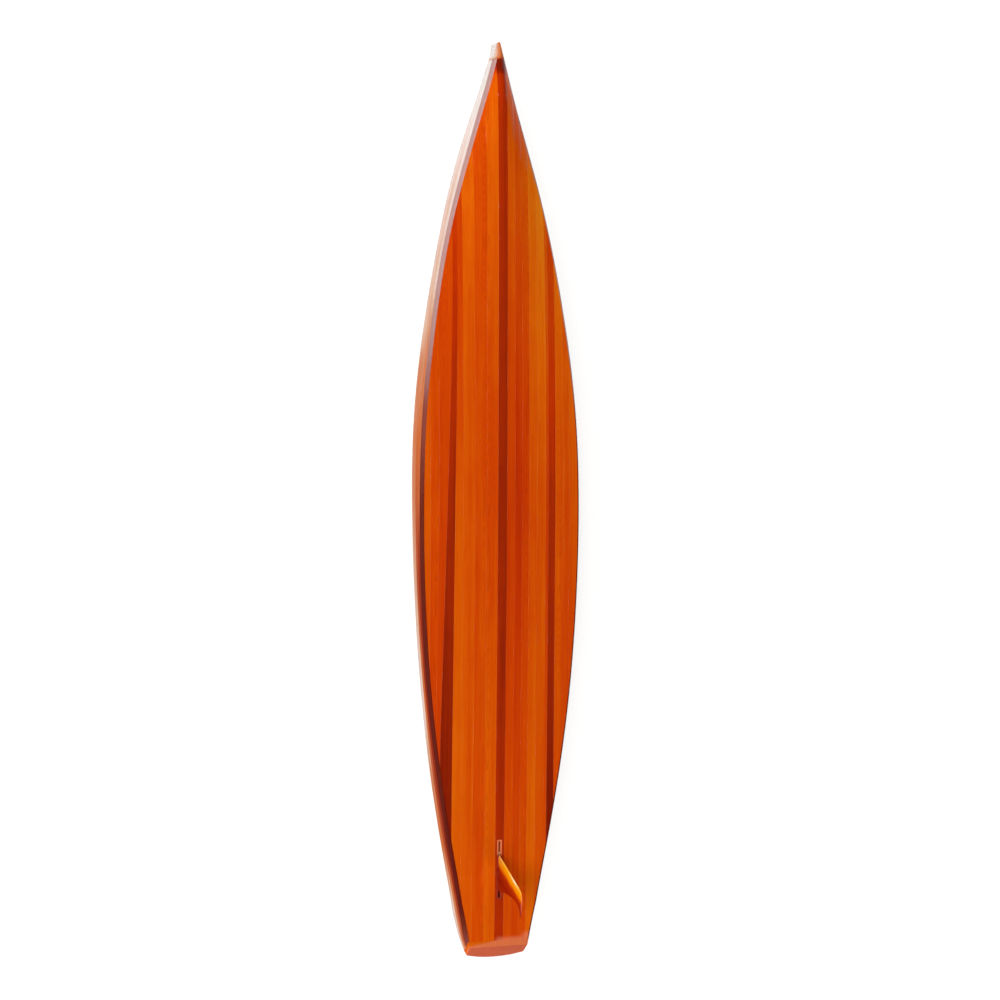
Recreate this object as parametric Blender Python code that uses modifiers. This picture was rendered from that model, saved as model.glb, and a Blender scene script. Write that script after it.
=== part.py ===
"""A hollow, strip-built wooden stand-up paddle board, lying deck-down on the floor.

Metres, +Z up. The bottom of the board faces up, so the fin points to +Z; the nose points to
+Y and the square tail to -Y. The origin is on the floor, in the middle of the board's plan.
"""

import math

import bmesh
import bpy
import numpy as np
from mathutils import Matrix, Vector

# Overall sizes
LENGTH = 4.267
HEIGHT = 0.175
HALF_BEAM = 0.4005
WIDEST_SHARE = 0.49
NOSE_BLOCK_LENGTH = 0.080
TAIL_BLOCK_LENGTH = 0.036
TAIL_CORNER_RADIUS = 0.005
TAIL_RAKE = 1.0
RAKE_FADE_LENGTH = 0.26

# Half widths of the bottom, as (share of the length from the tail, metres)
OUTLINE = (
    (0.0, 0.150), (0.05, 0.185), (0.127, 0.249), (0.26, 0.3425), (0.39, 0.390), (WIDEST_SHARE, HALF_BEAM),
    (0.59, 0.387), (0.70, 0.331), (0.80, 0.248), (0.89, 0.139), (0.97, 0.037), (1.0, 0.004),
)
# How far the keel and the chine lie below the highest line of the bottom
KEEL_DROP = (
    (0.0, 0.035), (0.127, 0.026), (0.26, 0.015), (0.39, 0.0065), (0.5, 0.0005), (0.61, 0.0), (0.72, 0.0005),
    (0.85, 0.003), (0.93, 0.009), (0.97, 0.022), (1.0, 0.050),
)
CHINE_DROP = (
    (0.0, 0.035), (0.127, 0.026), (0.26, 0.018), (0.39, 0.013), (0.5, 0.011), (0.587, 0.015), (0.6525, 0.022),
    (0.718, 0.033), (0.784, 0.042), (0.85, 0.045), (0.937, 0.048), (0.975, 0.046), (1.0, 0.0505),
)
# The deck's half width over the bottom's: the sides lean in aft and flare out at the bow
DECK_SHARE = (
    (0.0, 0.985), (0.12, 0.985), (0.29, 0.970), (0.5, 0.985), (0.62, 1.0), (0.72, 0.998), (0.79, 1.006),
    (0.88, 1.075), (1.0, 1.075),
)
VEE_POWER = 1.5
TAIL_STATIONS = (-2.06, -2.02, -1.98, -1.94)
NOSE_STATIONS = (1.87, 1.93, 1.99)
LEAST_STATION_GAP = 0.025
NOSE_LIFT, NOSE_LIFT_START, NOSE_LIFT_POWER, NOSE_CROWN = 0.070, 0.80, 4, 0.55
TAIL_LIFT, TAIL_LIFT_END, TAIL_LIFT_POWER, TAIL_CROWN = 0.100, 0.055, 1.3, 0.15

# Planking
GAP = 0.0003
CLEAR = 0.0006
SKIN = 0.006
CENTRE_STRIP_HALF = 0.023
SIDE_STRIP_INNER, SIDE_STRIP_OUTER = 0.239, 0.275
LEAST_PLANK = 0.004
CHINE_WIDTH, CHINE_HEIGHT, CHINE_ROUND = 0.007, 0.036, 0.003
CHINE_MOST_OF_SIDE = 0.40
CORNER_SHARE = 0.30
RAIL_THICKNESS, RAIL_RADIUS, RAIL_LIP = 0.010, 0.030, 0.004
RAIL_MOST_OF_WIDTH, RAIL_MOST_OF_SIDE, LIP_MOST_OF_WIDTH = 0.45, 0.35, 0.10
RAIL_LIP_STEP, RAIL_HEEL = 0.002, 0.004
TAIL_EDGE_RADIUS, TAIL_EDGE_GROWTH = 0.008, 0.12
RAIL_ARC_STEPS = 4
TAIL_BLOCK_STEPS = (0.0, 0.06, 0.2, 0.45, 0.75, 1.0)
NOSE_BLOCK_STEPS = (0.0, 0.3, 0.55, 0.75, 0.9, 1.0)

# Frame
RIB_COUNT, RIB_FIRST_Y, RIB_SPACING, RIB_THICKNESS = 10, -1.53, 0.37, 0.006
RIB_EDGE_STEPS = 8
RIB_HOLE_CENTERS, RIB_HOLE_HALF_WIDTH, RIB_HOLE_HALF_HEIGHT = (0.32, 0.70), 0.13, 0.27
LEAST_HOLED_REACH = 0.16
SPAR_THICKNESS = 0.009
SPAR_FRONT_Y = 1.86
SPAR_CLEAR = 0.0013
SPAR_HOLE_HALF_LENGTH, SPAR_HOLE_HALF_HEIGHT = 0.27, 0.26
FIN_BLOCK_HALF_WIDTH, FIN_BLOCK_MARGIN = 0.032, 0.012
HANDLE_BLOCK_SIDE, HANDLE_BLOCK_END = 0.020, 0.016
LEASH_BLOCK_HALF = (0.034, 0.034)
VENT_BLOCK_HALF = (0.030, 0.034)

# Fin box, in a frame that lies on the bottom with its x axis pointing to the nose
FIN_BOX_Y = -1.719
BOX_LENGTH, BOX_WIDTH, BOX_DEPTH, BOX_WALL = 0.276, 0.025, 0.032, 0.006
SLOT_WIDTH, SLOT_DEPTH = 0.0098, 0.0265
GROOVE_WIDTH, GROOVE_TOP, GROOVE_BOTTOM = 0.0178, 0.008, 0.013
NOTCH_HALF_LENGTH, NOTCH_DEPTH = 0.0075, 0.0105
BOX_SINK = 0.0004
STRIP_JOINT_BEHIND_BOX_FRONT = 0.002
FIN_FRONT = 0.068
FIN_BASE_LIFT = 0.0008
FIN_LEVELS = (  # height above the bottom, leading edge and trailing edge behind the fin's front
    (0.0, 0.0, 0.172), (0.032, 0.020, 0.169), (0.070, 0.041, 0.170), (0.110, 0.064, 0.174),
    (0.150, 0.088, 0.182), (0.185, 0.107, 0.195), (0.210, 0.121, 0.213), (0.224, 0.130, 0.236),
    (0.231, 0.135, 0.263), (0.240, 0.145, 0.241), (0.246, 0.156, 0.215), (0.2495, 0.172, 0.193),
)
FOIL_SHARES = ((0.03, 0.42), (0.14, 0.84), (0.36, 1.0), (0.70, 0.66), (1.0, 0.10))
FIN_ROOT_THICKNESS, FIN_TIP_THICKNESS, FIN_TAPER_POWER = 0.0105, 0.0045, 1.5
FIN_EDGE_HEIGHT, FIN_EDGE_SHARE = 0.245, 0.6
TAB_THICKNESS, TAB_DEPTH, TAB_FRONT, TAB_REAR, TAB_TOP = 0.0092, 0.022, 0.008, 0.166, 0.006
TONGUE_REACH, TONGUE_TOP, TONGUE_BOTTOM, TONGUE_ROOT = 0.014, 0.0045, 0.0075, 0.004
TONGUE_INSET = 0.0002
PIN_RADIUS, PIN_LENGTH, PIN_BACK = 0.0020, 0.0170, 0.160
SCREW_RADIUS, SCREW_HEAD_RADIUS, SCREW_HEAD, SCREW_LENGTH = 0.0019, 0.0038, 0.0022, 0.0135
SCREW_BACK, SCREW_HOLE_CLEAR, SCREW_HEAD_CHAMFER = 0.007, 0.0005, 0.0006
SCREW_POINT_LENGTH, SCREW_POINT_SHARE = 0.001, 0.6
DRIVER_HALF_LENGTH, DRIVER_HALF_WIDTH, DRIVER_DEPTH = 0.0026, 0.0005, 0.0013
NUT_LENGTH, NUT_WIDTH, NUT_THICKNESS, NUT_HOLE_CLEAR = 0.012, 0.0168, 0.003, 0.0003

# Deck fittings
HANDLE_Y, HANDLE_LENGTH, HANDLE_WIDTH, HANDLE_DEPTH = -0.235, 0.150, 0.080, 0.042
HANDLE_WALL, HANDLE_CORNER, GRIP_WIDTH, GRIP_THICKNESS = 0.003, 0.018, 0.024, 0.014
GRIP_LOW, GRIP_INSET, GRIP_ROUND = 0.0012, 0.001, 0.004
FITTING_LIFT = 0.0006
LEASH_Y, LEASH_RADIUS, LEASH_WALL, LEASH_DEPTH = -1.905, 0.018, 0.003, 0.022
LEASH_FLANGE_LENGTH, LEASH_FLANGE_CORNER, LEASH_FLANGE_THICKNESS = 0.050, 0.002, 0.005
LEASH_BAR_RADIUS, LEASH_BAR_HALF_LENGTH, LEASH_BAR_HEIGHT = 0.0025, 0.0164, 0.008
VENT_Y, VENT_RADIUS, VENT_RECESS, VENT_WALL, VENT_FLOOR = -0.100, 0.0175, 0.0120, 0.002, 0.003
VENT_BORE, VENT_HUB_RADIUS, VENT_HUB_TOP = 0.0062, 0.0105, 0.030
PLUG_RADIUS, PLUG_TOP, PLUG_CHAMFER = 0.0057, 0.0250, 0.0008
PLUG_HEAD_RADIUS, PLUG_HEAD_LOW, PLUG_HEAD_TOP = 0.0120, 0.0065, 0.0100
COIN_SLOT_HALF_LENGTH, COIN_SLOT_HALF_WIDTH, COIN_SLOT_TOP = 0.0080, 0.0010, 0.0080
SEAL_RADIUS, SEAL_TUBE_RADIUS, SEAL_TUBE_STEPS = 0.0088, 0.00085, 6
THROUGH = 0.020


def spline(points):
    """A natural cubic through the points, as a function of its first coordinate."""
    x, y = np.array(points).T
    h = np.diff(x)
    count = len(x)
    matrix, right = np.eye(count), np.zeros(count)
    for i in range(1, count - 1):
        matrix[i, i - 1:i + 2] = h[i - 1], 2 * (h[i - 1] + h[i]), h[i]
        right[i] = 6 * ((y[i + 1] - y[i]) / h[i] - (y[i] - y[i - 1]) / h[i - 1])
    bend = np.linalg.solve(matrix, right)

    def value(at):
        i = int(np.clip(np.searchsorted(x, at) - 1, 0, count - 2))
        a, b = (x[i + 1] - at) / h[i], (at - x[i]) / h[i]
        curve = ((a**3 - a) * bend[i] + (b**3 - b) * bend[i + 1]) * h[i] ** 2 / 6
        return float(a * y[i] + b * y[i + 1] + curve)

    return value


outline_at = spline(OUTLINE)
keel_drop_at = spline(KEEL_DROP)
chine_drop_at = spline(CHINE_DROP)
deck_share_at = spline(DECK_SHARE)


def share(y):
    """How far along the board y is: 0 at the tail, 1 at the nose."""
    return y / LENGTH + 0.5


def half_width(y):
    """Half width of the bottom, with the tail's two corners rounded."""
    width = outline_at(share(y))
    past = TAIL_CORNER_RADIUS - (y + LENGTH / 2)
    if past > 0:
        width -= TAIL_CORNER_RADIUS - math.sqrt(max(TAIL_CORNER_RADIUS**2 - past**2, 0.0))
    return width


def keel_z(y):
    return HEIGHT - keel_drop_at(share(y))


def bottom_z(x, y):
    """Height of the bottom's outer face: flat aft, and a shallow vee forward."""
    vee = max(chine_drop_at(share(y)) - keel_drop_at(share(y)), 0.0)
    return keel_z(y) - vee * min(abs(x) / half_width(y), 1.0) ** VEE_POWER


def chine_z(y):
    return bottom_z(half_width(y), y)


def nose_lift(y):
    forward = max(share(y) - NOSE_LIFT_START, 0.0) / (1 - NOSE_LIFT_START)
    return NOSE_LIFT * forward**NOSE_LIFT_POWER


def tail_lift(y):
    return TAIL_LIFT * (max(TAIL_LIFT_END - share(y), 0.0) / TAIL_LIFT_END) ** TAIL_LIFT_POWER


def deck_lift(y):
    """How far the deck's edge is off the floor, where the board gets thinner at its two ends."""
    return nose_lift(y) + tail_lift(y)


def deck_half_width(y):
    return deck_share_at(share(y)) * half_width(y)


def deck_z(x, y):
    """Height of the deck's outer face: on the floor, but lifted and crowned at nose and tail."""
    inward = 1 - min(abs(x) / deck_half_width(y), 1.0) ** 2
    return nose_lift(y) * (1 - NOSE_CROWN * inward) + tail_lift(y) * (1 - TAIL_CROWN * inward)


def side_height(y):
    return chine_z(y) - deck_lift(y)


def rail_radius(y):
    near_tail = TAIL_EDGE_RADIUS + TAIL_EDGE_GROWTH * (y + LENGTH / 2)
    most = min(RAIL_MOST_OF_WIDTH * half_width(y), RAIL_MOST_OF_SIDE * side_height(y))
    return min(RAIL_RADIUS, near_tail, most)


def chine_bottom(y):
    """Height of the seam between the chine strip and the rail."""
    return chine_z(y) - min(CHINE_HEIGHT, CHINE_MOST_OF_SIDE * side_height(y))


def lip_x(y):
    """Where the rail's lip meets the deck planking."""
    return deck_half_width(y) - rail_radius(y) - min(RAIL_LIP, LIP_MOST_OF_WIDTH * half_width(y))


TAIL_LOWEST = deck_z(0, -LENGTH / 2)


def place(x, y, z):
    """A point of the hull, sheared aft near the tail so that the transom is raked."""
    fade = 1 - (y + LENGTH / 2) / RAKE_FADE_LENGTH
    rake = TAIL_RAKE * min(max(fade, 0.0), 1.0)
    return Vector((x, y + rake * (z - TAIL_LOWEST), z))


def bottom_limit(y):
    """Where the bottom planking meets the chine strip."""
    return half_width(y) - CHINE_WIDTH


def y_where(limit, reach, low, high):
    """The y between low and high at which the limit is this far out."""
    for _ in range(40):
        middle = (low + high) / 2
        if (limit(middle) < reach) == (limit(low) < reach):
            low = middle
        else:
            high = middle
    return (low + high) / 2


NOSE_Y = LENGTH / 2 - NOSE_BLOCK_LENGTH
TAIL_Y = -LENGTH / 2 + TAIL_BLOCK_LENGTH
WIDEST_Y = (WIDEST_SHARE - 0.5) * LENGTH
HULL_TAIL_Y, HULL_NOSE_Y = TAIL_Y + GAP, NOSE_Y - GAP
BAND_EDGES = (CENTRE_STRIP_HALF, SIDE_STRIP_INNER, SIDE_STRIP_OUTER)


def plank_span(limit, inner):
    """The stretch of the board that is wide enough for a plank starting this far out."""
    need = inner + 2 * GAP + LEAST_PLANK
    rear, front = HULL_TAIL_Y, HULL_NOSE_Y
    if limit(rear) < need:
        rear = y_where(limit, need, rear, WIDEST_Y)
    if limit(front) < need:
        front = y_where(limit, need, WIDEST_Y, front)
    return rear, front


def deck_section(y, depth):
    """The section whose centreline point, this deep in the deck's planking, is placed at y."""
    section = y
    for _ in range(20):
        section += y - place(0, section, deck_z(0, section) + depth).y
    return section


def ends_round(y, length):
    """The sections at which the deck's strips stop on each side of a fitting."""
    reach = length / 2 + CLEAR
    return deck_section(y - reach, SKIN), deck_section(y + reach, 0.0)


HANDLE_ENDS = ends_round(HANDLE_Y, HANDLE_LENGTH)
LEASH_ENDS = ends_round(LEASH_Y, LEASH_FLANGE_LENGTH)
STRIP_JOINT_Y = FIN_BOX_Y + BOX_LENGTH / 2 - STRIP_JOINT_BEHIND_BOX_FRONT
STRIP_JOINT_ENDS = (STRIP_JOINT_Y - GAP / 2, STRIP_JOINT_Y + GAP / 2)


def all_stations():
    """Every y at which a section is lofted, shared by all planks so that their seams agree."""
    ys = {HULL_TAIL_Y, HULL_NOSE_Y, *HANDLE_ENDS, *LEASH_ENDS, *STRIP_JOINT_ENDS}
    for inner in BAND_EDGES:
        ys.update(plank_span(bottom_limit, inner))
        ys.update(plank_span(lip_x, inner))
    half_spacings = range(-2, 2 * RIB_COUNT - 1)
    at_ribs = [RIB_FIRST_Y + RIB_SPACING * step / 2 for step in half_spacings]
    for y in (*TAIL_STATIONS, *at_ribs, *NOSE_STATIONS):
        if min(abs(y - kept) for kept in ys) > LEAST_STATION_GAP:
            ys.add(y)
    return sorted(ys)


# ---------------------------------------------------------------- Scene helpers


def clear_scene():
    for obj in list(bpy.data.objects):
        bpy.data.objects.remove(obj, do_unlink=True)


def new_collection(name, cutter=False):
    collection = bpy.data.collections.new(name)
    bpy.context.scene.collection.children.link(collection)
    collection.hide_render = cutter
    return collection


def make_material(name, color, roughness, metallic=0.0):
    material = bpy.data.materials.new(name)
    material.use_nodes = True
    shader = material.node_tree.nodes["Principled BSDF"]
    shader.inputs["Base Color"].default_value = (*color, 1.0)
    shader.inputs["Roughness"].default_value = roughness
    shader.inputs["Metallic"].default_value = metallic
    material.diffuse_color = (*color, 1.0)
    return material


clear_scene()
BOARD = new_collection("wooden_paddle_board")
CUTTERS = new_collection("cutters", cutter=True)
CEDAR = make_material("cedar", (0.62, 0.13, 0.012), 0.15)
CEDAR_PALE = make_material("cedar_pale", (0.66, 0.30, 0.12), 0.15)
CEDAR_DARK = make_material("cedar_dark", (0.30, 0.045, 0.010), 0.15)
WALNUT = make_material("walnut", (0.09, 0.022, 0.012), 0.15)
PLYWOOD = make_material("plywood", (0.60, 0.42, 0.24), 0.6)
FIN_WOOD = make_material("fin_wood", (0.78, 0.33, 0.03), 0.15)
BOX_PLASTIC = make_material("box_plastic", (0.50, 0.20, 0.09), 0.4)
BLACK_PLASTIC = make_material("black_plastic", (0.02, 0.02, 0.02), 0.45)
RUBBER = make_material("seal_rubber", (0.015, 0.015, 0.015), 0.7)
STEEL = make_material("stainless_steel", (0.62, 0.62, 0.60), 0.25, 1.0)
BRASS = make_material("brass", (0.72, 0.50, 0.20), 0.3, 1.0)


def add_mesh(name, mesh, material, collection=None):
    obj = bpy.data.objects.new(name, mesh)
    (collection or BOARD).objects.link(obj)
    if material:
        mesh.materials.append(material)
    else:
        obj.hide_render = True
        obj.display_type = "WIRE"
    return obj


def mesh_from(bm):
    bmesh.ops.recalc_face_normals(bm, faces=bm.faces)
    if bm.calc_volume(signed=True) < 0:
        bmesh.ops.reverse_faces(bm, faces=bm.faces)
    mesh = bpy.data.meshes.new("mesh")
    bm.to_mesh(mesh)
    bm.free()
    return mesh


def loft(name, sections, material, collection=None):
    """A closed solid through sections that are loops of equally many points."""
    bm = bmesh.new()
    rings = [[bm.verts.new(point) for point in section] for section in sections]
    for first, second in zip(rings, rings[1:]):
        for i in range(len(first)):
            j = (i + 1) % len(first)
            bm.faces.new((first[i], first[j], second[j], second[i]))
    bm.faces.new(reversed(rings[0]))
    bm.faces.new(rings[-1])
    bmesh.ops.triangulate(bm, faces=bm.faces)
    mesh = mesh_from(bm)
    mesh.shade_smooth()
    mesh.set_sharp_from_angle(angle=math.radians(30))
    return add_mesh(name, mesh, material, collection)


def outline_plate(name, outline, thickness, material, holes=(), collection=None):
    """A flat plate in its own XY plane, centred on it, with any holes."""
    curve = bpy.data.curves.new(name, "CURVE")
    curve.dimensions = "2D"
    curve.fill_mode = "BOTH"
    curve.extrude = thickness / 2
    for loop in (outline, *holes):
        line = curve.splines.new("POLY")
        line.points.add(len(loop) - 1)
        for point, (x, y) in zip(line.points, loop):
            point.co = (x, y, 0, 1)
        line.use_cyclic_u = True
    obj = bpy.data.objects.new(name, curve)
    (collection or BOARD).objects.link(obj)
    if material:
        curve.materials.append(material)
    return as_mesh(obj)


def as_mesh(obj):
    """Replaces a curve object by a welded mesh object of the same name, place and material."""
    bpy.context.view_layer.update()
    evaluated = obj.evaluated_get(bpy.context.evaluated_depsgraph_get())
    mesh = bpy.data.meshes.new_from_object(evaluated)
    bm = bmesh.new()
    bm.from_mesh(mesh)
    bmesh.ops.remove_doubles(bm, verts=bm.verts, dist=1e-6)
    bmesh.ops.recalc_face_normals(bm, faces=bm.faces)
    bm.to_mesh(mesh)
    bm.free()
    name, world, collection = obj.name, obj.matrix_world.copy(), obj.users_collection[0]
    bpy.data.objects.remove(obj)
    new = bpy.data.objects.new(name, mesh)
    collection.objects.link(new)
    new.matrix_world = world
    return new


def box(name, low, high, material, collection=None):
    bm = bmesh.new()
    bmesh.ops.create_cube(bm, size=1.0)
    low, high = Vector(low), Vector(high)
    bmesh.ops.scale(bm, vec=high - low, verts=bm.verts)
    bmesh.ops.translate(bm, vec=(low + high) / 2, verts=bm.verts)
    return add_mesh(name, mesh_from(bm), material, collection)


def cylinder(name, radius, low_z, high_z, material, segments=24, collection=None):
    bm = bmesh.new()
    bmesh.ops.create_cone(
        bm, cap_ends=True, segments=segments, radius1=radius, radius2=radius, depth=high_z - low_z
    )
    bmesh.ops.translate(bm, vec=(0, 0, (low_z + high_z) / 2), verts=bm.verts)
    return add_mesh(name, mesh_from(bm), material, collection)


def turned(name, profile, material, steps=24):
    """A turned piece: (radius, height) points, its outer side from top to bottom."""
    bm = bmesh.new()
    verts = [bm.verts.new((radius, 0, height)) for radius, height in profile]
    for i in range(len(verts)):
        bm.edges.new((verts[i], verts[(i + 1) % len(verts)]))
    mesh = bpy.data.meshes.new(name)
    bm.to_mesh(mesh)
    bm.free()
    obj = add_mesh(name, mesh, material)
    screw = obj.modifiers.new("turn", "SCREW")
    screw.steps = screw.render_steps = steps
    screw.merge_threshold = 0.0001
    screw.use_merge_vertices = True
    return obj


def boolean(obj, cutter, operation="DIFFERENCE"):
    modifier = obj.modifiers.new(cutter.name, "BOOLEAN")
    modifier.operation = operation
    modifier.object = cutter


def cutter_box(name, low, high, parent=None):
    obj = box(name, low, high, None, CUTTERS)
    obj.parent = parent
    return obj


def rounded_rectangle(width, length, radius, steps=5):
    points = []
    for corner, (sx, sy) in enumerate(((1, 1), (-1, 1), (-1, -1), (1, -1))):
        for step in range(steps + 1):
            angle = math.pi / 2 * (corner + step / steps)
            x = sx * (width / 2 - radius) + radius * math.cos(angle)
            y = sy * (length / 2 - radius) + radius * math.sin(angle)
            points.append((x, y))
    return points


def oval(center_x, center_y, half_x, half_y, steps=16):
    turns = [2 * math.pi * i / steps for i in range(steps)]
    return [(center_x + half_x * math.cos(a), center_y + half_y * math.sin(a)) for a in turns]


# ---------------------------------------------------------------- Planking

STATIONS = all_stations()


def stations_between(rear, front):
    return [y for y in STATIONS if rear - 1e-6 <= y <= front + 1e-6]


def plank(name, surface, limit, inner, outer, side, material):
    """A plank of the bottom or the deck, from inner to outer or to the limit, on one side."""
    thickness = -SKIN if surface is bottom_z else SKIN
    rear, front = plank_span(limit, inner)
    steps = 4 if outer - inner > 0.1 and surface is bottom_z else 2
    sections = []
    for y in stations_between(rear, front):
        x1, x2 = inner + GAP / 2, min(outer - GAP / 2, limit(y) - GAP)
        xs = [x1 + (x2 - x1) * i / steps for i in range(steps + 1)]
        face = [place(side * x, y, surface(x, y)) for x in xs]
        back = [place(side * x, y, surface(x, y) + thickness) for x in reversed(xs)]
        sections.append(face + back)
    return loft(name, sections, material)


def centre_plank(name, surface, limit, rear, front):
    thickness = -SKIN if surface is bottom_z else SKIN
    sections = []
    for y in stations_between(rear, front):
        x = min(CENTRE_STRIP_HALF - GAP / 2, limit(y) - GAP)
        xs = [-x, 0.0, x]
        face = [place(at, y, surface(at, y)) for at in xs]
        back = [place(at, y, surface(at, y) + thickness) for at in reversed(xs)]
        sections.append(face + back)
    return loft(name, sections, CEDAR_DARK)


def make_planking():
    bands = (
        ("inner", CENTRE_STRIP_HALF, SIDE_STRIP_INNER, CEDAR),
        ("dark_strip", SIDE_STRIP_INNER, SIDE_STRIP_OUTER, CEDAR_DARK),
        ("outer", SIDE_STRIP_OUTER, 1.0, CEDAR),
    )
    for side, word in ((-1, "left"), (1, "right")):
        for band, inner, outer, material in bands:
            plank(f"bottom_{word}_{band}", bottom_z, bottom_limit, inner, outer, side, material)
            plank(f"deck_{word}_{band}", deck_z, lip_x, inner, outer, side, material)
    joint_rear, joint_front = STRIP_JOINT_ENDS
    centre_plank("bottom_centre_strip_rear", bottom_z, bottom_limit, HULL_TAIL_Y, joint_rear)
    centre_plank("bottom_centre_strip_front", bottom_z, bottom_limit, joint_front, HULL_NOSE_Y)
    centre_plank("deck_centre_strip_tail", deck_z, lip_x, HULL_TAIL_Y, LEASH_ENDS[0])
    centre_plank("deck_centre_strip_rear", deck_z, lip_x, LEASH_ENDS[1], HANDLE_ENDS[0])
    centre_plank("deck_centre_strip_front", deck_z, lip_x, HANDLE_ENDS[1], HULL_NOSE_Y)


def chine_section(y, side):
    width, top = half_width(y), chine_z(y)
    inner = width - CHINE_WIDTH
    low = chine_bottom(y)
    r = CHINE_ROUND
    points = (
        (inner, bottom_z(inner, y)),
        (width - r, bottom_z(width - r, y)),
        (width - CORNER_SHARE * r, top - CORNER_SHARE * r),
        (width, top - r),
        (width, low),
        (inner, low),
        (inner, bottom_z(inner, y) - SKIN),
    )
    return [place(side * x, y, z) for x, z in points]


def rail_section(y, side):
    width, deck_width, r = half_width(y), deck_half_width(y), rail_radius(y)
    top = chine_bottom(y) - GAP
    edge, lip = deck_lift(y), lip_x(y)
    points = [(width, top)]
    for step in range(RAIL_ARC_STEPS + 1):
        angle = math.pi / 2 * step / RAIL_ARC_STEPS
        x = deck_width - r + r * math.cos(angle)
        points.append((x, edge + r - r * math.sin(angle)))
    points += [
        (lip, deck_z(lip, y)),
        (lip, deck_z(lip, y) + SKIN + RAIL_LIP_STEP),
        (deck_width - RAIL_THICKNESS, edge + r + RAIL_HEEL),
        (width - RAIL_THICKNESS, top),
    ]
    return [place(side * x, y, z) for x, z in points]


def make_rails():
    for side, word in ((-1, "left"), (1, "right")):
        ys = stations_between(HULL_TAIL_Y, HULL_NOSE_Y)
        loft(f"chine_strip_{word}", [chine_section(y, side) for y in ys], WALNUT)
        loft(f"rail_{word}", [rail_section(y, side) for y in ys], CEDAR)


def full_section(y):
    """The whole outline of the hull at y, for the solid blocks at its two ends."""
    width, deck_width, r = half_width(y), deck_half_width(y), rail_radius(y)
    corner = min(CHINE_ROUND, CORNER_SHARE * width)
    edge = deck_lift(y)
    half = [
        (width - corner, bottom_z(width - corner, y)),
        (width - CORNER_SHARE * corner, chine_z(y) - CORNER_SHARE * corner),
        (width, chine_z(y) - corner),
    ]
    for step in range(RAIL_ARC_STEPS + 1):
        angle = math.pi / 2 * step / RAIL_ARC_STEPS
        half.append((deck_width - r + r * math.cos(angle), edge + r - r * math.sin(angle)))
    other = [(-x, z) for x, z in reversed(half)]
    points = [(0.0, keel_z(y)), *half, (0.0, deck_z(0, y)), *other]
    return [place(x, y, z) for x, z in points]


def make_end_blocks():
    tail_ys = [-LENGTH / 2 + TAIL_BLOCK_LENGTH * part for part in TAIL_BLOCK_STEPS]
    loft("tail_block", [full_section(y) for y in tail_ys], CEDAR_DARK)
    nose_ys = [NOSE_Y + NOSE_BLOCK_LENGTH * part for part in NOSE_BLOCK_STEPS]
    loft("nose_block", [full_section(y) for y in nose_ys], CEDAR_PALE)


# ---------------------------------------------------------------- Frame


def inside_bottom(x, y):
    return bottom_z(x, y) - SKIN - CLEAR


def inside_deck(x, y):
    return deck_z(x, y) + SKIN + CLEAR


def rib_profile(y):
    """Half of the space inside the shell at y, from the keel round to the deck."""
    worst = min((y - RIB_THICKNESS / 2, y + RIB_THICKNESS / 2), key=half_width)
    side = half_width(worst) - RAIL_THICKNESS - 2 * CLEAR
    deck_side = deck_half_width(worst) - RAIL_THICKNESS - 2 * CLEAR
    heel = deck_lift(worst) + rail_radius(worst) + RAIL_HEEL + 2 * GAP + SPAR_CLEAR
    lip = lip_x(worst)
    xs = [side * step / RIB_EDGE_STEPS for step in range(RIB_EDGE_STEPS + 1)]
    top = [(x, inside_bottom(x, worst) - SPAR_CLEAR) for x in xs]
    low = [
        (side, chine_bottom(worst)),
        (deck_side, heel),
        (lip - CLEAR, inside_deck(lip, worst) + RAIL_LIP_STEP + SPAR_CLEAR),
        (lip / 2, inside_deck(lip / 2, worst) + SPAR_CLEAR),
    ]
    return top + low


def middle_z(y):
    return (inside_bottom(0, y) + inside_deck(0, y)) / 2


def rib_holes(y):
    """Four lightening holes, where the board is wide enough for them."""
    reach = rib_profile(y)[RIB_EDGE_STEPS][0]
    if reach < LEAST_HOLED_REACH:
        return []
    half_height = RIB_HOLE_HALF_HEIGHT * (inside_bottom(0, y) - inside_deck(0, y))
    holes = []
    for center in RIB_HOLE_CENTERS:
        x = center * reach
        z = (inside_bottom(x, y) + inside_deck(x, y)) / 2
        for side in (-1, 1):
            holes.append(oval(side * x, z, RIB_HOLE_HALF_WIDTH * reach, half_height, 12))
    return holes


def make_ribs():
    slot = SPAR_THICKNESS / 2 + GAP
    for index in range(RIB_COUNT):
        y = RIB_FIRST_Y + index * RIB_SPACING
        half = rib_profile(y)
        low = inside_deck(0, y) + CLEAR
        notch = [(slot, low), (slot, middle_z(y)), (-slot, middle_z(y)), (-slot, low)]
        outline = half[1:] + notch + [(-x, z) for x, z in reversed(half[1:])] + [half[0]]
        rib = outline_plate(f"rib_{index + 1}", outline, RIB_THICKNESS, PLYWOOD, rib_holes(y))
        rib.location = (0, y, 0)
        rib.rotation_euler = (math.pi / 2, 0, 0)


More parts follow.
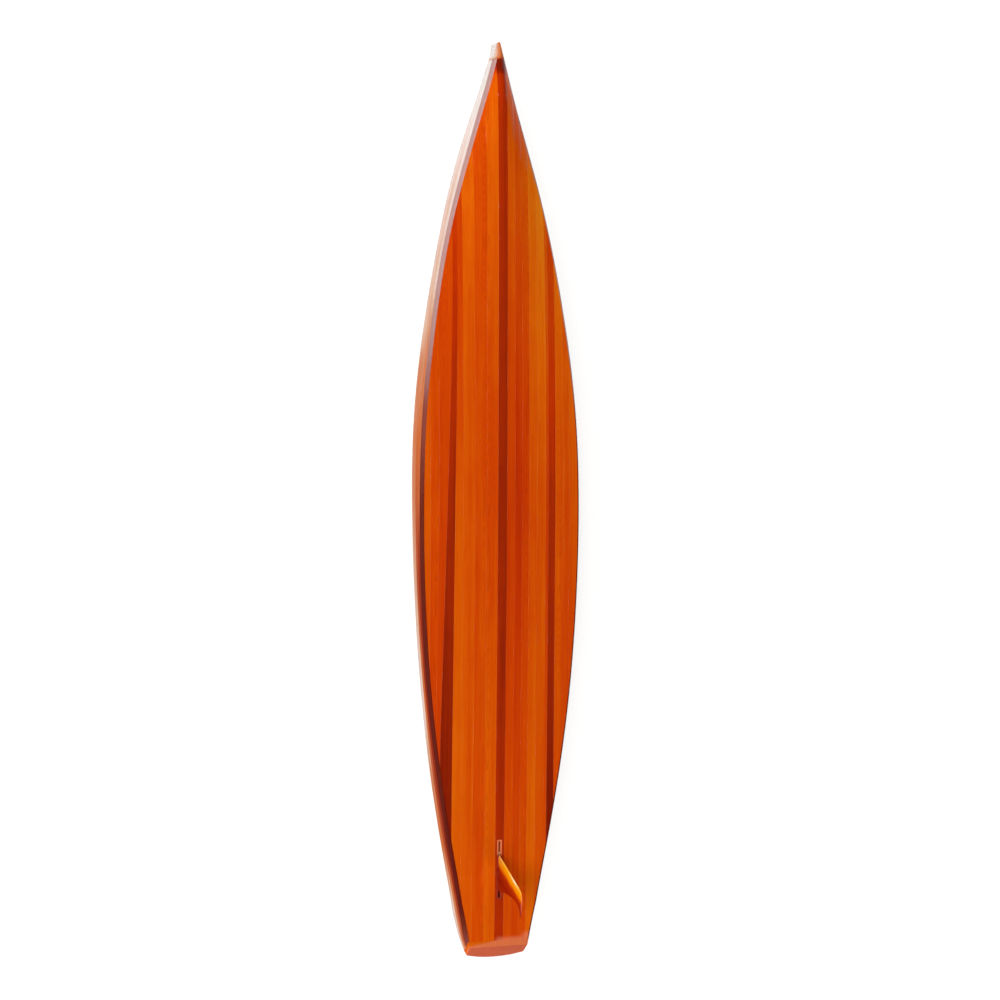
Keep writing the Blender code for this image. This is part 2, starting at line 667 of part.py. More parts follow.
def make_spar(name, rear, front):
    """A stretch of the centre spar, notched over each rib that it crosses."""
    ribs = [RIB_FIRST_Y + index * RIB_SPACING for index in range(RIB_COUNT)]
    ribs = [y for y in ribs if rear < y < front]
    half = RIB_THICKNESS / 2 + GAP
    top, low = [], []
    ends = [rear, *ribs, front]
    for a, b in zip(ends, ends[1:]):
        start = a + half if a in ribs else a
        stop = b - half if b in ribs else b
        for part in (0.0, 0.5, 1.0):
            y = start + (stop - start) * part
            top.append((y, inside_bottom(0, y) - SPAR_CLEAR))
            low.append((y, inside_deck(0, y) + SPAR_CLEAR))
        if b in ribs:
            floor = middle_z(b) - GAP
            top += [(stop, floor), (b + half, floor)]
    holes = []
    for a, b in zip(ends, ends[1:]):
        y, height = (a + b) / 2, inside_bottom(0, (a + b) / 2) - inside_deck(0, (a + b) / 2)
        half_length = SPAR_HOLE_HALF_LENGTH * (b - a)
        holes.append(oval(y, middle_z(y), half_length, SPAR_HOLE_HALF_HEIGHT * height, 14))
    outline = top + list(reversed(low))
    spar = outline_plate(name, outline, SPAR_THICKNESS, PLYWOOD, holes)
    spar.rotation_euler = (math.pi / 2, 0, math.pi / 2)


def full_block(name, y, half_x, half_y, material=PLYWOOD):
    """A solid block between the deck and the bottom."""
    low = max(inside_deck(half_x, y + s * half_y) for s in (-1, 1))
    high = min(inside_bottom(half_x, y + s * half_y) for s in (-1, 1)) - CLEAR
    return box(name, (-half_x, y - half_y, low + CLEAR), (half_x, y + half_y, high), material)


# ---------------------------------------------------------------- Fin and fin box


def fin_frame():
    """An empty on the bottom over the fin box, its x axis along the surface to the nose."""
    step = BOX_LENGTH / 2
    rise = bottom_z(0, FIN_BOX_Y + step) - bottom_z(0, FIN_BOX_Y - step)
    slope = math.atan2(rise, 2 * step)
    height = (bottom_z(0, FIN_BOX_Y + step) + bottom_z(0, FIN_BOX_Y - step)) / 2
    empty = bpy.data.objects.new("fin_frame", None)
    BOARD.objects.link(empty)
    forward = Vector((0, math.cos(slope), math.sin(slope)))
    up = Vector((0, -math.sin(slope), math.cos(slope)))
    across = forward.cross(up).normalized()
    axes = Matrix((forward, -across, up)).transposed().to_4x4()
    empty.matrix_world = Matrix.Translation((0, FIN_BOX_Y, height)) @ axes
    bpy.context.view_layer.update()
    return empty


def make_fin_box(frame):
    half, width = BOX_LENGTH / 2, BOX_WIDTH / 2
    body = box("fin_box", (-half, -width, -BOX_DEPTH), (half, width, -BOX_SINK), BOX_PLASTIC)
    inner = half - BOX_WALL
    slot = cutter_box(
        "slot_cutter", (-inner, -SLOT_WIDTH / 2, -SLOT_DEPTH), (inner, SLOT_WIDTH / 2, THROUGH), frame
    )
    groove = cutter_box(
        "groove_cutter",
        (-inner, -GROOVE_WIDTH / 2, -GROOVE_BOTTOM),
        (inner, GROOVE_WIDTH / 2, -GROOVE_TOP),
        frame,
    )
    notch = cutter_box(
        "notch_cutter",
        (-NOTCH_HALF_LENGTH, -GROOVE_WIDTH / 2, -NOTCH_DEPTH),
        (NOTCH_HALF_LENGTH, GROOVE_WIDTH / 2, THROUGH),
        frame,
    )
    body.parent = frame
    for cutter in (slot, groove, notch):
        boolean(body, cutter)


def foil(front, rear, thickness, z):
    """A symmetric foil section, from its leading edge round to its trailing edge."""
    chord = front - rear
    side = [(front - chord * at, thickness / 2 * part) for at, part in FOIL_SHARES]
    points = [(front, 0.0), *side, *[(x, -y) for x, y in reversed(side)]]
    return [Vector((x, y, z)) for x, y in points]


def make_fin(frame):
    sections = []
    top = FIN_LEVELS[-1][0]
    for height, leading, trailing in FIN_LEVELS:
        taper = (height / top) ** FIN_TAPER_POWER
        thickness = FIN_ROOT_THICKNESS + (FIN_TIP_THICKNESS - FIN_ROOT_THICKNESS) * taper
        if height > FIN_EDGE_HEIGHT:
            thickness *= FIN_EDGE_SHARE
        z = max(height, FIN_BASE_LIFT)
        sections.append(foil(FIN_FRONT - leading, FIN_FRONT - trailing, thickness, z))
    fin = loft("fin", sections, FIN_WOOD)
    fin.parent = frame
    half = TAB_THICKNESS / 2
    tab = cutter_box(
        "tab_shape",
        (FIN_FRONT - TAB_REAR, -half, -TAB_DEPTH),
        (FIN_FRONT - TAB_FRONT, half, TAB_TOP),
        frame,
    )
    tongue = cutter_box(
        "tongue_shape",
        (FIN_FRONT - TAB_FRONT - TONGUE_ROOT, -half + TONGUE_INSET, -TONGUE_BOTTOM),
        (FIN_FRONT + TONGUE_REACH, half - TONGUE_INSET, -TONGUE_TOP),
        frame,
    )
    pin_hole = cylinder("pin_hole", PIN_RADIUS + GAP, -THROUGH, THROUGH, None, 16, CUTTERS)
    pin_hole.parent = frame
    pin_hole.rotation_euler = (math.pi / 2, 0, 0)
    pin_hole.location = (FIN_FRONT - PIN_BACK, 0, pin_z())
    clear_radius = SCREW_RADIUS + SCREW_HOLE_CLEAR
    screw_hole = cylinder("screw_hole", clear_radius, -THROUGH, 0.0, None, 16, CUTTERS)
    screw_hole.parent = frame
    screw_hole.location = (screw_x(), 0, 0)
    boolean(fin, tab, "UNION")
    boolean(fin, tongue, "UNION")
    boolean(fin, pin_hole)
    boolean(fin, screw_hole)


def pin_z():
    return -(GROOVE_TOP + GROOVE_BOTTOM) / 2


def screw_x():
    return FIN_FRONT + TONGUE_REACH - SCREW_BACK


def make_fin_fasteners(frame):
    pin = cylinder("fin_roll_pin", PIN_RADIUS, -PIN_LENGTH / 2, PIN_LENGTH / 2, STEEL, 16)
    pin.parent = frame
    pin.rotation_euler = (math.pi / 2, 0, 0)
    pin.location = (FIN_FRONT - PIN_BACK, 0, pin_z())
    head_low = -TONGUE_TOP + GAP
    head_top, point = head_low + SCREW_HEAD, head_low - SCREW_LENGTH
    r, head_r, chamfer = SCREW_RADIUS, SCREW_HEAD_RADIUS, SCREW_HEAD_CHAMFER
    screw = turned(
        "fin_screw",
        (
            (0, head_top),
            (head_r - chamfer, head_top),
            (head_r, head_top - chamfer),
            (head_r, head_low),
            (r, head_low),
            (r, point + SCREW_POINT_LENGTH),
            (r * SCREW_POINT_SHARE, point),
            (0, point),
        ),
        STEEL,
        steps=20,
    )
    screw.parent = frame
    screw.location = (screw_x(), 0, 0)
    for turn in (0, math.pi / 2):
        cross = cutter_box(
            f"driver_cutter_{turn:.0f}",
            (-DRIVER_HALF_LENGTH, -DRIVER_HALF_WIDTH, -DRIVER_DEPTH),
            (DRIVER_HALF_LENGTH, DRIVER_HALF_WIDTH, DRIVER_DEPTH),
            frame,
        )
        cross.location = (screw_x(), 0, head_top)
        cross.rotation_euler = (0, 0, turn)
        boolean(screw, cross)
    top = -GROOVE_TOP - GAP
    nut = box(
        "fin_nut_plate",
        (-NUT_LENGTH / 2, -NUT_WIDTH / 2, top - NUT_THICKNESS),
        (NUT_LENGTH / 2, NUT_WIDTH / 2, top),
        BRASS,
    )
    nut.parent = frame
    nut.location = (screw_x(), 0, 0)
    hole = cylinder("nut_hole", SCREW_RADIUS + NUT_HOLE_CLEAR, -THROUGH, 0.0, None, 16, CUTTERS)
    hole.parent = frame
    hole.location = (screw_x(), 0, 0)
    boolean(nut, hole)


def make_fin_block(frame):
    half, width, depth = BOX_LENGTH / 2 + CLEAR, BOX_WIDTH / 2 + CLEAR, BOX_DEPTH + CLEAR
    block = full_block("fin_block", FIN_BOX_Y, FIN_BLOCK_HALF_WIDTH, BOX_LENGTH / 2 + FIN_BLOCK_MARGIN)
    pocket = cutter_box("fin_pocket", (-half, -width, -depth), (half, width, THROUGH), frame)
    boolean(block, pocket)
    for name in ("bottom_centre_strip_front", "bottom_centre_strip_rear"):
        boolean(bpy.data.objects[name], pocket)


# ---------------------------------------------------------------- Deck fittings


def as_cutter(obj):
    obj.hide_render = True
    obj.display_type = "WIRE"
    return obj


def plate_cutter(name, outline, low_z, high_z, y):
    plate = outline_plate(name, outline, high_z - low_z, None, collection=CUTTERS)
    plate.location = (0, y, (low_z + high_z) / 2)
    return as_cutter(plate)


def make_handle():
    width, length, corner, wall = HANDLE_WIDTH, HANDLE_LENGTH, HANDLE_CORNER, HANDLE_WALL
    half_x, half_y = width / 2 + HANDLE_BLOCK_SIDE, length / 2 + HANDLE_BLOCK_END
    block = full_block("handle_block", HANDLE_Y, half_x, half_y)
    outline = rounded_rectangle(width, length, corner)
    cup = outline_plate("handle_cup", outline, HANDLE_DEPTH - FITTING_LIFT, BLACK_PLASTIC)
    cup.location = (0, HANDLE_Y, (HANDLE_DEPTH + FITTING_LIFT) / 2)
    inner = rounded_rectangle(width - 2 * wall, length - 2 * wall, corner - wall)
    hollow = plate_cutter("handle_hollow", inner, -THROUGH, HANDLE_DEPTH - wall, HANDLE_Y)
    boolean(cup, hollow)
    grip_reach = length / 2 - GRIP_INSET
    grip = cutter_box(
        "grip_shape",
        (-GRIP_WIDTH / 2, HANDLE_Y - grip_reach, GRIP_LOW),
        (GRIP_WIDTH / 2, HANDLE_Y + grip_reach, GRIP_THICKNESS),
    )
    bevel = grip.modifiers.new("round", "BEVEL")
    bevel.width, bevel.segments = GRIP_ROUND, 2
    boolean(cup, grip, "UNION")
    outer = rounded_rectangle(width + 2 * CLEAR, length + 2 * CLEAR, corner + CLEAR)
    pocket = plate_cutter("handle_pocket", outer, -THROUGH, HANDLE_DEPTH + CLEAR, HANDLE_Y)
    for obj in (block, bpy.data.objects["deck_left_inner"], bpy.data.objects["deck_right_inner"]):
        boolean(obj, pocket)


def make_leash():
    """A cup with a steel bar across it, on a flange as wide as the deck's centre strip."""
    low = deck_z(LEASH_RADIUS, LEASH_Y) + FITTING_LIFT
    top = low + LEASH_DEPTH
    r, inner = LEASH_RADIUS, LEASH_RADIUS - LEASH_WALL
    cup = turned(
        "leash_cup",
        ((0, top), (r, top), (r, low), (inner, low), (inner, top - LEASH_WALL), (0, top - LEASH_WALL)),
        BLACK_PLASTIC,
    )
    cup.location = (0, LEASH_Y, 0)
    middle_of_wall = (r + inner) / 2
    flange = outline_plate(
        "leash_flange",
        rounded_rectangle(2 * CENTRE_STRIP_HALF - CLEAR, LEASH_FLANGE_LENGTH, LEASH_FLANGE_CORNER),
        LEASH_FLANGE_THICKNESS,
        None,
        [oval(0, 0, middle_of_wall, middle_of_wall, 24)],
        CUTTERS,
    )
    flange.location = (0, LEASH_Y, low + LEASH_FLANGE_THICKNESS / 2)
    boolean(cup, as_cutter(flange), "UNION")
    reach = LEASH_BAR_HALF_LENGTH
    hole = cylinder("leash_bar_hole", LEASH_BAR_RADIUS + GAP, -reach - GAP, reach + GAP, None, 16, CUTTERS)
    bar = cylinder("leash_bar", LEASH_BAR_RADIUS, -reach, reach, STEEL, 16)
    for obj in (hole, bar):
        obj.rotation_euler = (0, math.pi / 2, 0)
        obj.location = (0, LEASH_Y, low + LEASH_BAR_HEIGHT)
    boolean(cup, hole)
    block = full_block("leash_block", LEASH_Y, *LEASH_BLOCK_HALF)
    pocket = cylinder("leash_pocket", r + CLEAR, -THROUGH, top + CLEAR, None, 32, CUTTERS)
    pocket.location = (0, LEASH_Y, 0)
    boolean(block, pocket)


def make_vent():
    """A brass seat let into the deck, with a coin-slotted screw plug and a rubber ring."""
    r, floor, top = VENT_RADIUS, VENT_RECESS, VENT_RECESS + VENT_FLOOR
    insert = turned(
        "vent_insert",
        (
            (VENT_BORE, VENT_HUB_TOP),
            (VENT_HUB_RADIUS, VENT_HUB_TOP),
            (VENT_HUB_RADIUS, top),
            (r, top),
            (r, FITTING_LIFT),
            (r - VENT_WALL, FITTING_LIFT),
            (r - VENT_WALL, floor),
            (VENT_BORE, floor),
        ),
        BRASS,
    )
    plug = turned(
        "vent_plug",
        (
            (0, PLUG_TOP),
            (PLUG_RADIUS - PLUG_CHAMFER, PLUG_TOP),
            (PLUG_RADIUS, PLUG_TOP - PLUG_CHAMFER),
            (PLUG_RADIUS, PLUG_HEAD_TOP),
            (PLUG_HEAD_RADIUS, PLUG_HEAD_TOP),
            (PLUG_HEAD_RADIUS, PLUG_HEAD_LOW + PLUG_CHAMFER),
            (PLUG_HEAD_RADIUS - PLUG_CHAMFER, PLUG_HEAD_LOW),
            (0, PLUG_HEAD_LOW),
        ),
        BRASS,
    )
    coin_slot = cutter_box(
        "coin_slot",
        (-COIN_SLOT_HALF_LENGTH, -COIN_SLOT_HALF_WIDTH, 0),
        (COIN_SLOT_HALF_LENGTH, COIN_SLOT_HALF_WIDTH, COIN_SLOT_TOP),
    )
    tube = reversed(oval(SEAL_RADIUS, 0, SEAL_TUBE_RADIUS, SEAL_TUBE_RADIUS, SEAL_TUBE_STEPS))
    seal = turned("vent_seal", list(tube), RUBBER)
    for obj in (insert, plug, coin_slot):
        obj.location = (0, VENT_Y, 0)
    seal.location = (0, VENT_Y, (PLUG_HEAD_TOP + VENT_RECESS) / 2)
    boolean(plug, coin_slot)
    block = full_block("vent_block", VENT_Y, *VENT_BLOCK_HALF)
    pocket = cylinder("vent_pocket", r + CLEAR, -THROUGH, top + CLEAR, None, 32, CUTTERS)
    bore = cylinder("vent_bore", VENT_HUB_RADIUS + CLEAR, 0.0, HEIGHT, None, 24, CUTTERS)
    for cutter in (pocket, bore):
        cutter.location = (0, VENT_Y, 0)
        boolean(block, cutter)
    boolean(bpy.data.objects["deck_centre_strip_front"], pocket)


def make_spars():
    """The centre spar, in two stretches between the blocks."""
    gap = 2 * CLEAR
    rear = FIN_BOX_Y + BOX_LENGTH / 2 + FIN_BLOCK_MARGIN + gap
    make_spar("centre_spar_rear", rear, HANDLE_ENDS[0] - HANDLE_BLOCK_END - gap)
    make_spar("centre_spar_front", VENT_Y + VENT_BLOCK_HALF[1] + gap, SPAR_FRONT_Y)


make_planking()
make_rails()
make_end_blocks()
make_ribs()
make_spars()
FIN_FRAME = fin_frame()
make_fin_box(FIN_FRAME)
make_fin(FIN_FRAME)
make_fin_fasteners(FIN_FRAME)
make_fin_block(FIN_FRAME)
make_handle()
make_leash()
make_vent()
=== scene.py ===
"""The finished look of a strip-built wooden paddle board, in the frame of its CAD model."""

import math

import bpy
import numpy as np
from mathutils import Matrix, Vector


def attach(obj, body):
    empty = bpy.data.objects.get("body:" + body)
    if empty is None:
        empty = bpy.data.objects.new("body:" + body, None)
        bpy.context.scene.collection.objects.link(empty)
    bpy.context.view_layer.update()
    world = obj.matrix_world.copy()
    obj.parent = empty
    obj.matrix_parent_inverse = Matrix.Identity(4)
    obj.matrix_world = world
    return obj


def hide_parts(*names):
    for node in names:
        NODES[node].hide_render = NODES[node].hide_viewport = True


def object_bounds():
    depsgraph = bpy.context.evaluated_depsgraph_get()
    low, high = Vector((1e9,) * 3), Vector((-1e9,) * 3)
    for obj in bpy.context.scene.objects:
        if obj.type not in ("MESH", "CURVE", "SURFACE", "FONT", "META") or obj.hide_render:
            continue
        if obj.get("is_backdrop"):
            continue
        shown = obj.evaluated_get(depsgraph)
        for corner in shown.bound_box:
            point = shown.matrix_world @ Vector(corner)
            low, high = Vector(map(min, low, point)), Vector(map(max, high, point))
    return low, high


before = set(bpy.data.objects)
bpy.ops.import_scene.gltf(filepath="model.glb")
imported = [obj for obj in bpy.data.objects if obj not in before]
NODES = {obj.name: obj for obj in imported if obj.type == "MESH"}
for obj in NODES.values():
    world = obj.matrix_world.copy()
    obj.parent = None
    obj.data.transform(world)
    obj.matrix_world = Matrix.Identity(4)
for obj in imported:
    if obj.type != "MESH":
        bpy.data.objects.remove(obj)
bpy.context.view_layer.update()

SCENE = bpy.context.scene

# ---------------------------------------------------------------- Hull, as in the CAD model

LENGTH = 4.267
HEIGHT = 0.175
HALF_BEAM = 0.4005
NOSE_BLOCK_LENGTH = 0.080
TAIL_BLOCK_LENGTH = 0.036
TAIL_CORNER_RADIUS = 0.005
TAIL_RAKE = 1.0
RAKE_FADE_LENGTH = 0.26
OUTLINE = (
    (0.0, 0.150), (0.05, 0.185), (0.127, 0.249), (0.26, 0.3425), (0.39, 0.390), (0.49, HALF_BEAM),
    (0.59, 0.387), (0.70, 0.331), (0.80, 0.248), (0.89, 0.139), (0.97, 0.037), (1.0, 0.004),
)
KEEL_DROP = (
    (0.0, 0.035), (0.127, 0.026), (0.26, 0.015), (0.39, 0.0065), (0.5, 0.0005), (0.61, 0.0), (0.72, 0.0005),
    (0.85, 0.003), (0.93, 0.009), (0.97, 0.022), (1.0, 0.050),
)
CHINE_DROP = (
    (0.0, 0.035), (0.127, 0.026), (0.26, 0.018), (0.39, 0.013), (0.5, 0.011), (0.587, 0.015), (0.6525, 0.022),
    (0.718, 0.033), (0.784, 0.042), (0.85, 0.045), (0.937, 0.048), (0.975, 0.046), (1.0, 0.0505),
)
DECK_SHARE = (
    (0.0, 0.985), (0.12, 0.985), (0.29, 0.970), (0.5, 0.985), (0.62, 1.0), (0.72, 0.998), (0.79, 1.006),
    (0.88, 1.075), (1.0, 1.075),
)
VEE_POWER = 1.5
NOSE_LIFT, NOSE_LIFT_START, NOSE_LIFT_POWER, NOSE_CROWN = 0.070, 0.80, 4, 0.55
TAIL_LIFT, TAIL_LIFT_END, TAIL_LIFT_POWER, TAIL_CROWN = 0.100, 0.055, 1.3, 0.15
GAP = 0.0003
SKIN = 0.006
CENTRE_STRIP_HALF = 0.023
CHINE_WIDTH, CHINE_HEIGHT, CHINE_ROUND = 0.007, 0.036, 0.003
RAIL_THICKNESS, RAIL_RADIUS, RAIL_LIP = 0.010, 0.030, 0.004
RAIL_MOST_OF_WIDTH, RAIL_MOST_OF_SIDE, LIP_MOST_OF_WIDTH = 0.45, 0.35, 0.10
CHINE_MOST_OF_SIDE, CORNER_SHARE = 0.40, 0.30
TAIL_EDGE_RADIUS, TAIL_EDGE_GROWTH = 0.008, 0.12
FIN_BOX_Y = -1.719
BOX_LENGTH, BOX_WIDTH = 0.276, 0.025


def spline(points):
    """A natural cubic through the points, as a function of its first coordinate."""
    x, y = np.array(points).T
    h = np.diff(x)
    count = len(x)
    matrix, right = np.eye(count), np.zeros(count)
    for i in range(1, count - 1):
        matrix[i, i - 1:i + 2] = h[i - 1], 2 * (h[i - 1] + h[i]), h[i]
        right[i] = 6 * ((y[i + 1] - y[i]) / h[i] - (y[i] - y[i - 1]) / h[i - 1])
    bend = np.linalg.solve(matrix, right)

    def value(at):
        at = np.asarray(at, float)
        i = np.clip(np.searchsorted(x, at) - 1, 0, count - 2)
        a, b = (x[i + 1] - at) / h[i], (at - x[i]) / h[i]
        curve = ((a**3 - a) * bend[i] + (b**3 - b) * bend[i + 1]) * h[i] ** 2 / 6
        return a * y[i] + b * y[i + 1] + curve

    return value


outline_at = spline(OUTLINE)
keel_drop_at = spline(KEEL_DROP)
chine_drop_at = spline(CHINE_DROP)
deck_share_at = spline(DECK_SHARE)


def share(y):
    return np.asarray(y, float) / LENGTH + 0.5


def half_width(y):
    past = np.clip(TAIL_CORNER_RADIUS - (np.asarray(y, float) + LENGTH / 2), 0.0, TAIL_CORNER_RADIUS)
    return outline_at(share(y)) - TAIL_CORNER_RADIUS + np.sqrt(TAIL_CORNER_RADIUS**2 - past**2)


def keel_z(y):
    return HEIGHT - keel_drop_at(share(y))


def bottom_z(x, y):
    vee = np.maximum(chine_drop_at(share(y)) - keel_drop_at(share(y)), 0.0)
    return keel_z(y) - vee * np.minimum(np.abs(x) / half_width(y), 1.0) ** VEE_POWER


def chine_z(y):
    return bottom_z(half_width(y), y)


def nose_lift(y):
    forward = np.maximum(share(y) - NOSE_LIFT_START, 0.0) / (1 - NOSE_LIFT_START)
    return NOSE_LIFT * forward**NOSE_LIFT_POWER


def tail_lift(y):
    return TAIL_LIFT * (np.maximum(TAIL_LIFT_END - share(y), 0.0) / TAIL_LIFT_END) ** TAIL_LIFT_POWER


def deck_lift(y):
    return nose_lift(y) + tail_lift(y)


def deck_half_width(y):
    return deck_share_at(share(y)) * half_width(y)


def deck_z(x, y):
    inward = 1 - np.minimum(np.abs(x) / deck_half_width(y), 1.0) ** 2
    return nose_lift(y) * (1 - NOSE_CROWN * inward) + tail_lift(y) * (1 - TAIL_CROWN * inward)


def side_height(y):
    return chine_z(y) - deck_lift(y)


def rail_radius(y):
    near_tail = TAIL_EDGE_RADIUS + TAIL_EDGE_GROWTH * (np.asarray(y, float) + LENGTH / 2)
    most = np.minimum(RAIL_MOST_OF_WIDTH * half_width(y), RAIL_MOST_OF_SIDE * side_height(y))
    return np.minimum(np.minimum(RAIL_RADIUS, near_tail), most)


def chine_bottom(y):
    return chine_z(y) - np.minimum(CHINE_HEIGHT, CHINE_MOST_OF_SIDE * side_height(y))


def lip_x(y):
    return deck_half_width(y) - rail_radius(y) - np.minimum(RAIL_LIP, LIP_MOST_OF_WIDTH * half_width(y))


def bottom_limit(y):
    return half_width(y) - CHINE_WIDTH


TAIL_LOWEST = float(deck_z(0, -LENGTH / 2))


def place(points):
    """Shears the hull aft near the tail, so that the transom is raked."""
    fade = 1 - (points[..., 1] + LENGTH / 2) / RAKE_FADE_LENGTH
    rake = TAIL_RAKE * np.clip(fade, 0.0, 1.0)
    placed = points.copy()
    placed[..., 1] += rake * (points[..., 2] - TAIL_LOWEST)
    return placed


NOSE_Y = LENGTH / 2 - NOSE_BLOCK_LENGTH
TAIL_Y = -LENGTH / 2 + TAIL_BLOCK_LENGTH
HULL_TAIL_Y, HULL_NOSE_Y = TAIL_Y + GAP, NOSE_Y - GAP

# ---------------------------------------------------------------- Camera, floor and lights

CAMERA_TARGET = Vector((0.0293, 0.00015, 0.080))
CAMERA_DISTANCE = 12.866
CAMERA_LEAN = math.radians(25.0)
CAMERA_ROLL = math.radians(0.158)
CAMERA_ANGLE = 0.35976


def make_camera():
    away = Vector((-math.sin(CAMERA_LEAN), 0, math.cos(CAMERA_LEAN)))
    right = Vector((math.cos(CAMERA_LEAN), 0, math.sin(CAMERA_LEAN)))
    up = Vector((0, 1, 0))
    across = right * math.cos(CAMERA_ROLL) + up * math.sin(CAMERA_ROLL)
    along = up * math.cos(CAMERA_ROLL) - right * math.sin(CAMERA_ROLL)
    data = bpy.data.cameras.new("camera")
    data.angle = CAMERA_ANGLE
    data.clip_end = 200.0
    camera = bpy.data.objects.new("camera", data)
    SCENE.collection.objects.link(camera)
    axes = Matrix((across, along, away)).transposed().to_4x4()
    camera.matrix_world = Matrix.Translation(CAMERA_TARGET + away * CAMERA_DISTANCE) @ axes
    SCENE.camera = camera


LIGHT_COLOR = (1.0, 0.99, 0.97)
LIGHT_POWER = 1500.0
# Each light's name, place, width and height; all of them face the middle of the board
LIGHTS = (
    ("light_bow", (-0.5, 9.5, 6.2), 9.0, 5.0),
    ("light_stern", (-0.5, -9.5, 6.2), 9.0, 5.0),
    ("light_left", (-8.5, 0.0, 5.2), 9.0, 4.0),
)


def make_lights():
    for name, location, width, height in LIGHTS:
        data = bpy.data.lights.new(name, "AREA")
        data.shape = "RECTANGLE"
        data.size, data.size_y, data.energy, data.color = width, height, LIGHT_POWER, LIGHT_COLOR
        light = bpy.data.objects.new(name, data)
        SCENE.collection.objects.link(light)
        light.location = location
        light.rotation_euler = (-Vector(location)).to_track_quat("-Z", "Y").to_euler()


class Graph:
    """Short calls for building a node tree. A socket's value is a number, a tuple or another socket."""

    def __init__(self, tree):
        self.tree = tree

    def node(self, kind, inputs=(), **settings):
        made = self.tree.nodes.new(kind)
        for key, value in settings.items():
            setattr(made, key, value)
        for key, value in dict(inputs).items():
            self.put(made.inputs[key], value)
        return made

    def put(self, socket, value):
        if isinstance(value, bpy.types.NodeSocket):
            self.tree.links.new(value, socket)
        elif value is not None:
            socket.default_value = value

    def math(self, operation, a, b=None, c=None, clamp=False):
        made = self.node("ShaderNodeMath", operation=operation, use_clamp=clamp)
        for socket, value in zip(made.inputs, (a, b, c)):
            self.put(socket, value)
        return made.outputs[0]

    def vector(self, operation, a, b):
        made = self.node("ShaderNodeVectorMath", operation=operation)
        self.put(made.inputs[0], a)
        self.put(made.inputs[1], b)
        return made.outputs[0]

    def joined(self, x=0.0, y=0.0, z=0.0):
        return self.node("ShaderNodeCombineXYZ", {"X": x, "Y": y, "Z": z}).outputs[0]

    def split(self, vector, axis):
        return self.node("ShaderNodeSeparateXYZ", {"Vector": vector}).outputs[axis]

    def position(self):
        return self.node("ShaderNodeTexCoord").outputs["Object"]

    def attribute(self, name):
        return self.node("ShaderNodeAttribute", attribute_name=name).outputs["Fac"]

    def noise(self, place, scale, detail=2.0, rough=0.5):
        """Noise with its own scale, in cycles a metre, along each axis."""
        stretched = self.vector("MULTIPLY", place, scale)
        inputs = {"Vector": stretched, "Scale": 1.0, "Detail": detail, "Roughness": rough}
        return self.node("ShaderNodeTexNoise", inputs).outputs["Fac"]

    def swing(self, noise, gain, middle=0.5):
        """The noise about zero, times the gain."""
        return self.math("MULTIPLY", self.math("SUBTRACT", noise, middle), gain)

    def ramp(self, factor, stops):
        made = self.node("ShaderNodeValToRGB", {"Fac": factor})
        elements = made.color_ramp.elements
        while len(elements) < len(stops):
            elements.new(0.5)
        for element, (at, color) in zip(elements, stops):
            element.position = at
            element.color = (*color, 1.0)
        return made.outputs["Color"]

    def mix(self, factor, a, b):
        made = self.node("ShaderNodeMix", data_type="RGBA", blend_type="MIX")
        for socket, value in ((made.inputs[0], factor), (made.inputs[6], a), (made.inputs[7], b)):
            self.put(socket, (*value, 1.0) if isinstance(value, tuple) else value)
        return made.outputs[2]

    def spread(self, value, low, high, to_low=0.0, to_high=1.0):
        """The value's place between low and high, eased at both ends."""
        made = self.node("ShaderNodeMapRange", clamp=True)
        made.interpolation_type = "SMOOTHSTEP"
        for socket, number in zip(made.inputs, (value, low, high, to_low, to_high)):
            self.put(socket, number)
        return made.outputs[0]

    def bump(self, height, strength, distance):
        inputs = {"Strength": strength, "Distance": distance, "Height": height}
        return self.node("ShaderNodeBump", inputs).outputs[0]


def linear(red, green, blue):
    """A colour given as 0-255 display values, in the linear numbers that shaders take."""
    shares = [value / 255 for value in (red, green, blue)]
    return tuple(share / 12.92 if share <= 0.04045 else ((share + 0.055) / 1.055) ** 2.4 for share in shares)


# The sky's grey at the horizon and overhead, and the heights between which it changes
SKY_HORIZON, SKY_TOP = 0.62, 0.008
SKY_LOW, SKY_HIGH = 0.10, 0.55


def make_world():
    world = bpy.data.worlds.new("studio")
    world.use_nodes = True
    world.node_tree.nodes.clear()
    graph = Graph(world.node_tree)
    direction = graph.node("ShaderNodeTexCoord").outputs["Generated"]
    grey = graph.spread(graph.split(direction, "Z"), SKY_LOW, SKY_HIGH, SKY_HORIZON, SKY_TOP)
    shade = graph.node("ShaderNodeBackground", {"Color": (1.0, 1.0, 1.0, 1.0), "Strength": grey})
    out = graph.node("ShaderNodeOutputWorld")
    world.node_tree.links.new(shade.outputs[0], out.inputs[0])
    SCENE.world = world


FLOOR_GREY, FLOOR_ROUGHNESS = 0.50, 0.9
FLOOR_GLOW = 0.42  # keeps the floor pale out to the horizon
FLOOR_REACH = 40.0


def make_floor():
    mesh = bpy.data.meshes.new("floor")
    corners = [(x * FLOOR_REACH, y * FLOOR_REACH, 0) for x, y in ((-1, -1), (1, -1), (1, 1), (-1, 1))]
    mesh.from_pydata(corners, [], [(0, 1, 2, 3)])
    floor = bpy.data.objects.new("floor", mesh)
    SCENE.collection.objects.link(floor)
    material, _, shader = new_material("studio_floor")
    shader.inputs["Base Color"].default_value = (FLOOR_GREY, FLOOR_GREY, FLOOR_GREY, 1.0)
    shader.inputs["Roughness"].default_value = FLOOR_ROUGHNESS
    shader.inputs["Specular IOR Level"].default_value = 0.0
    shader.inputs["Emission Color"].default_value = (1.0, 1.0, 1.0, 1.0)
    shader.inputs["Emission Strength"].default_value = FLOOR_GLOW
    mesh.materials.append(material)
    floor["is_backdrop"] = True


# ---------------------------------------------------------------- Materials

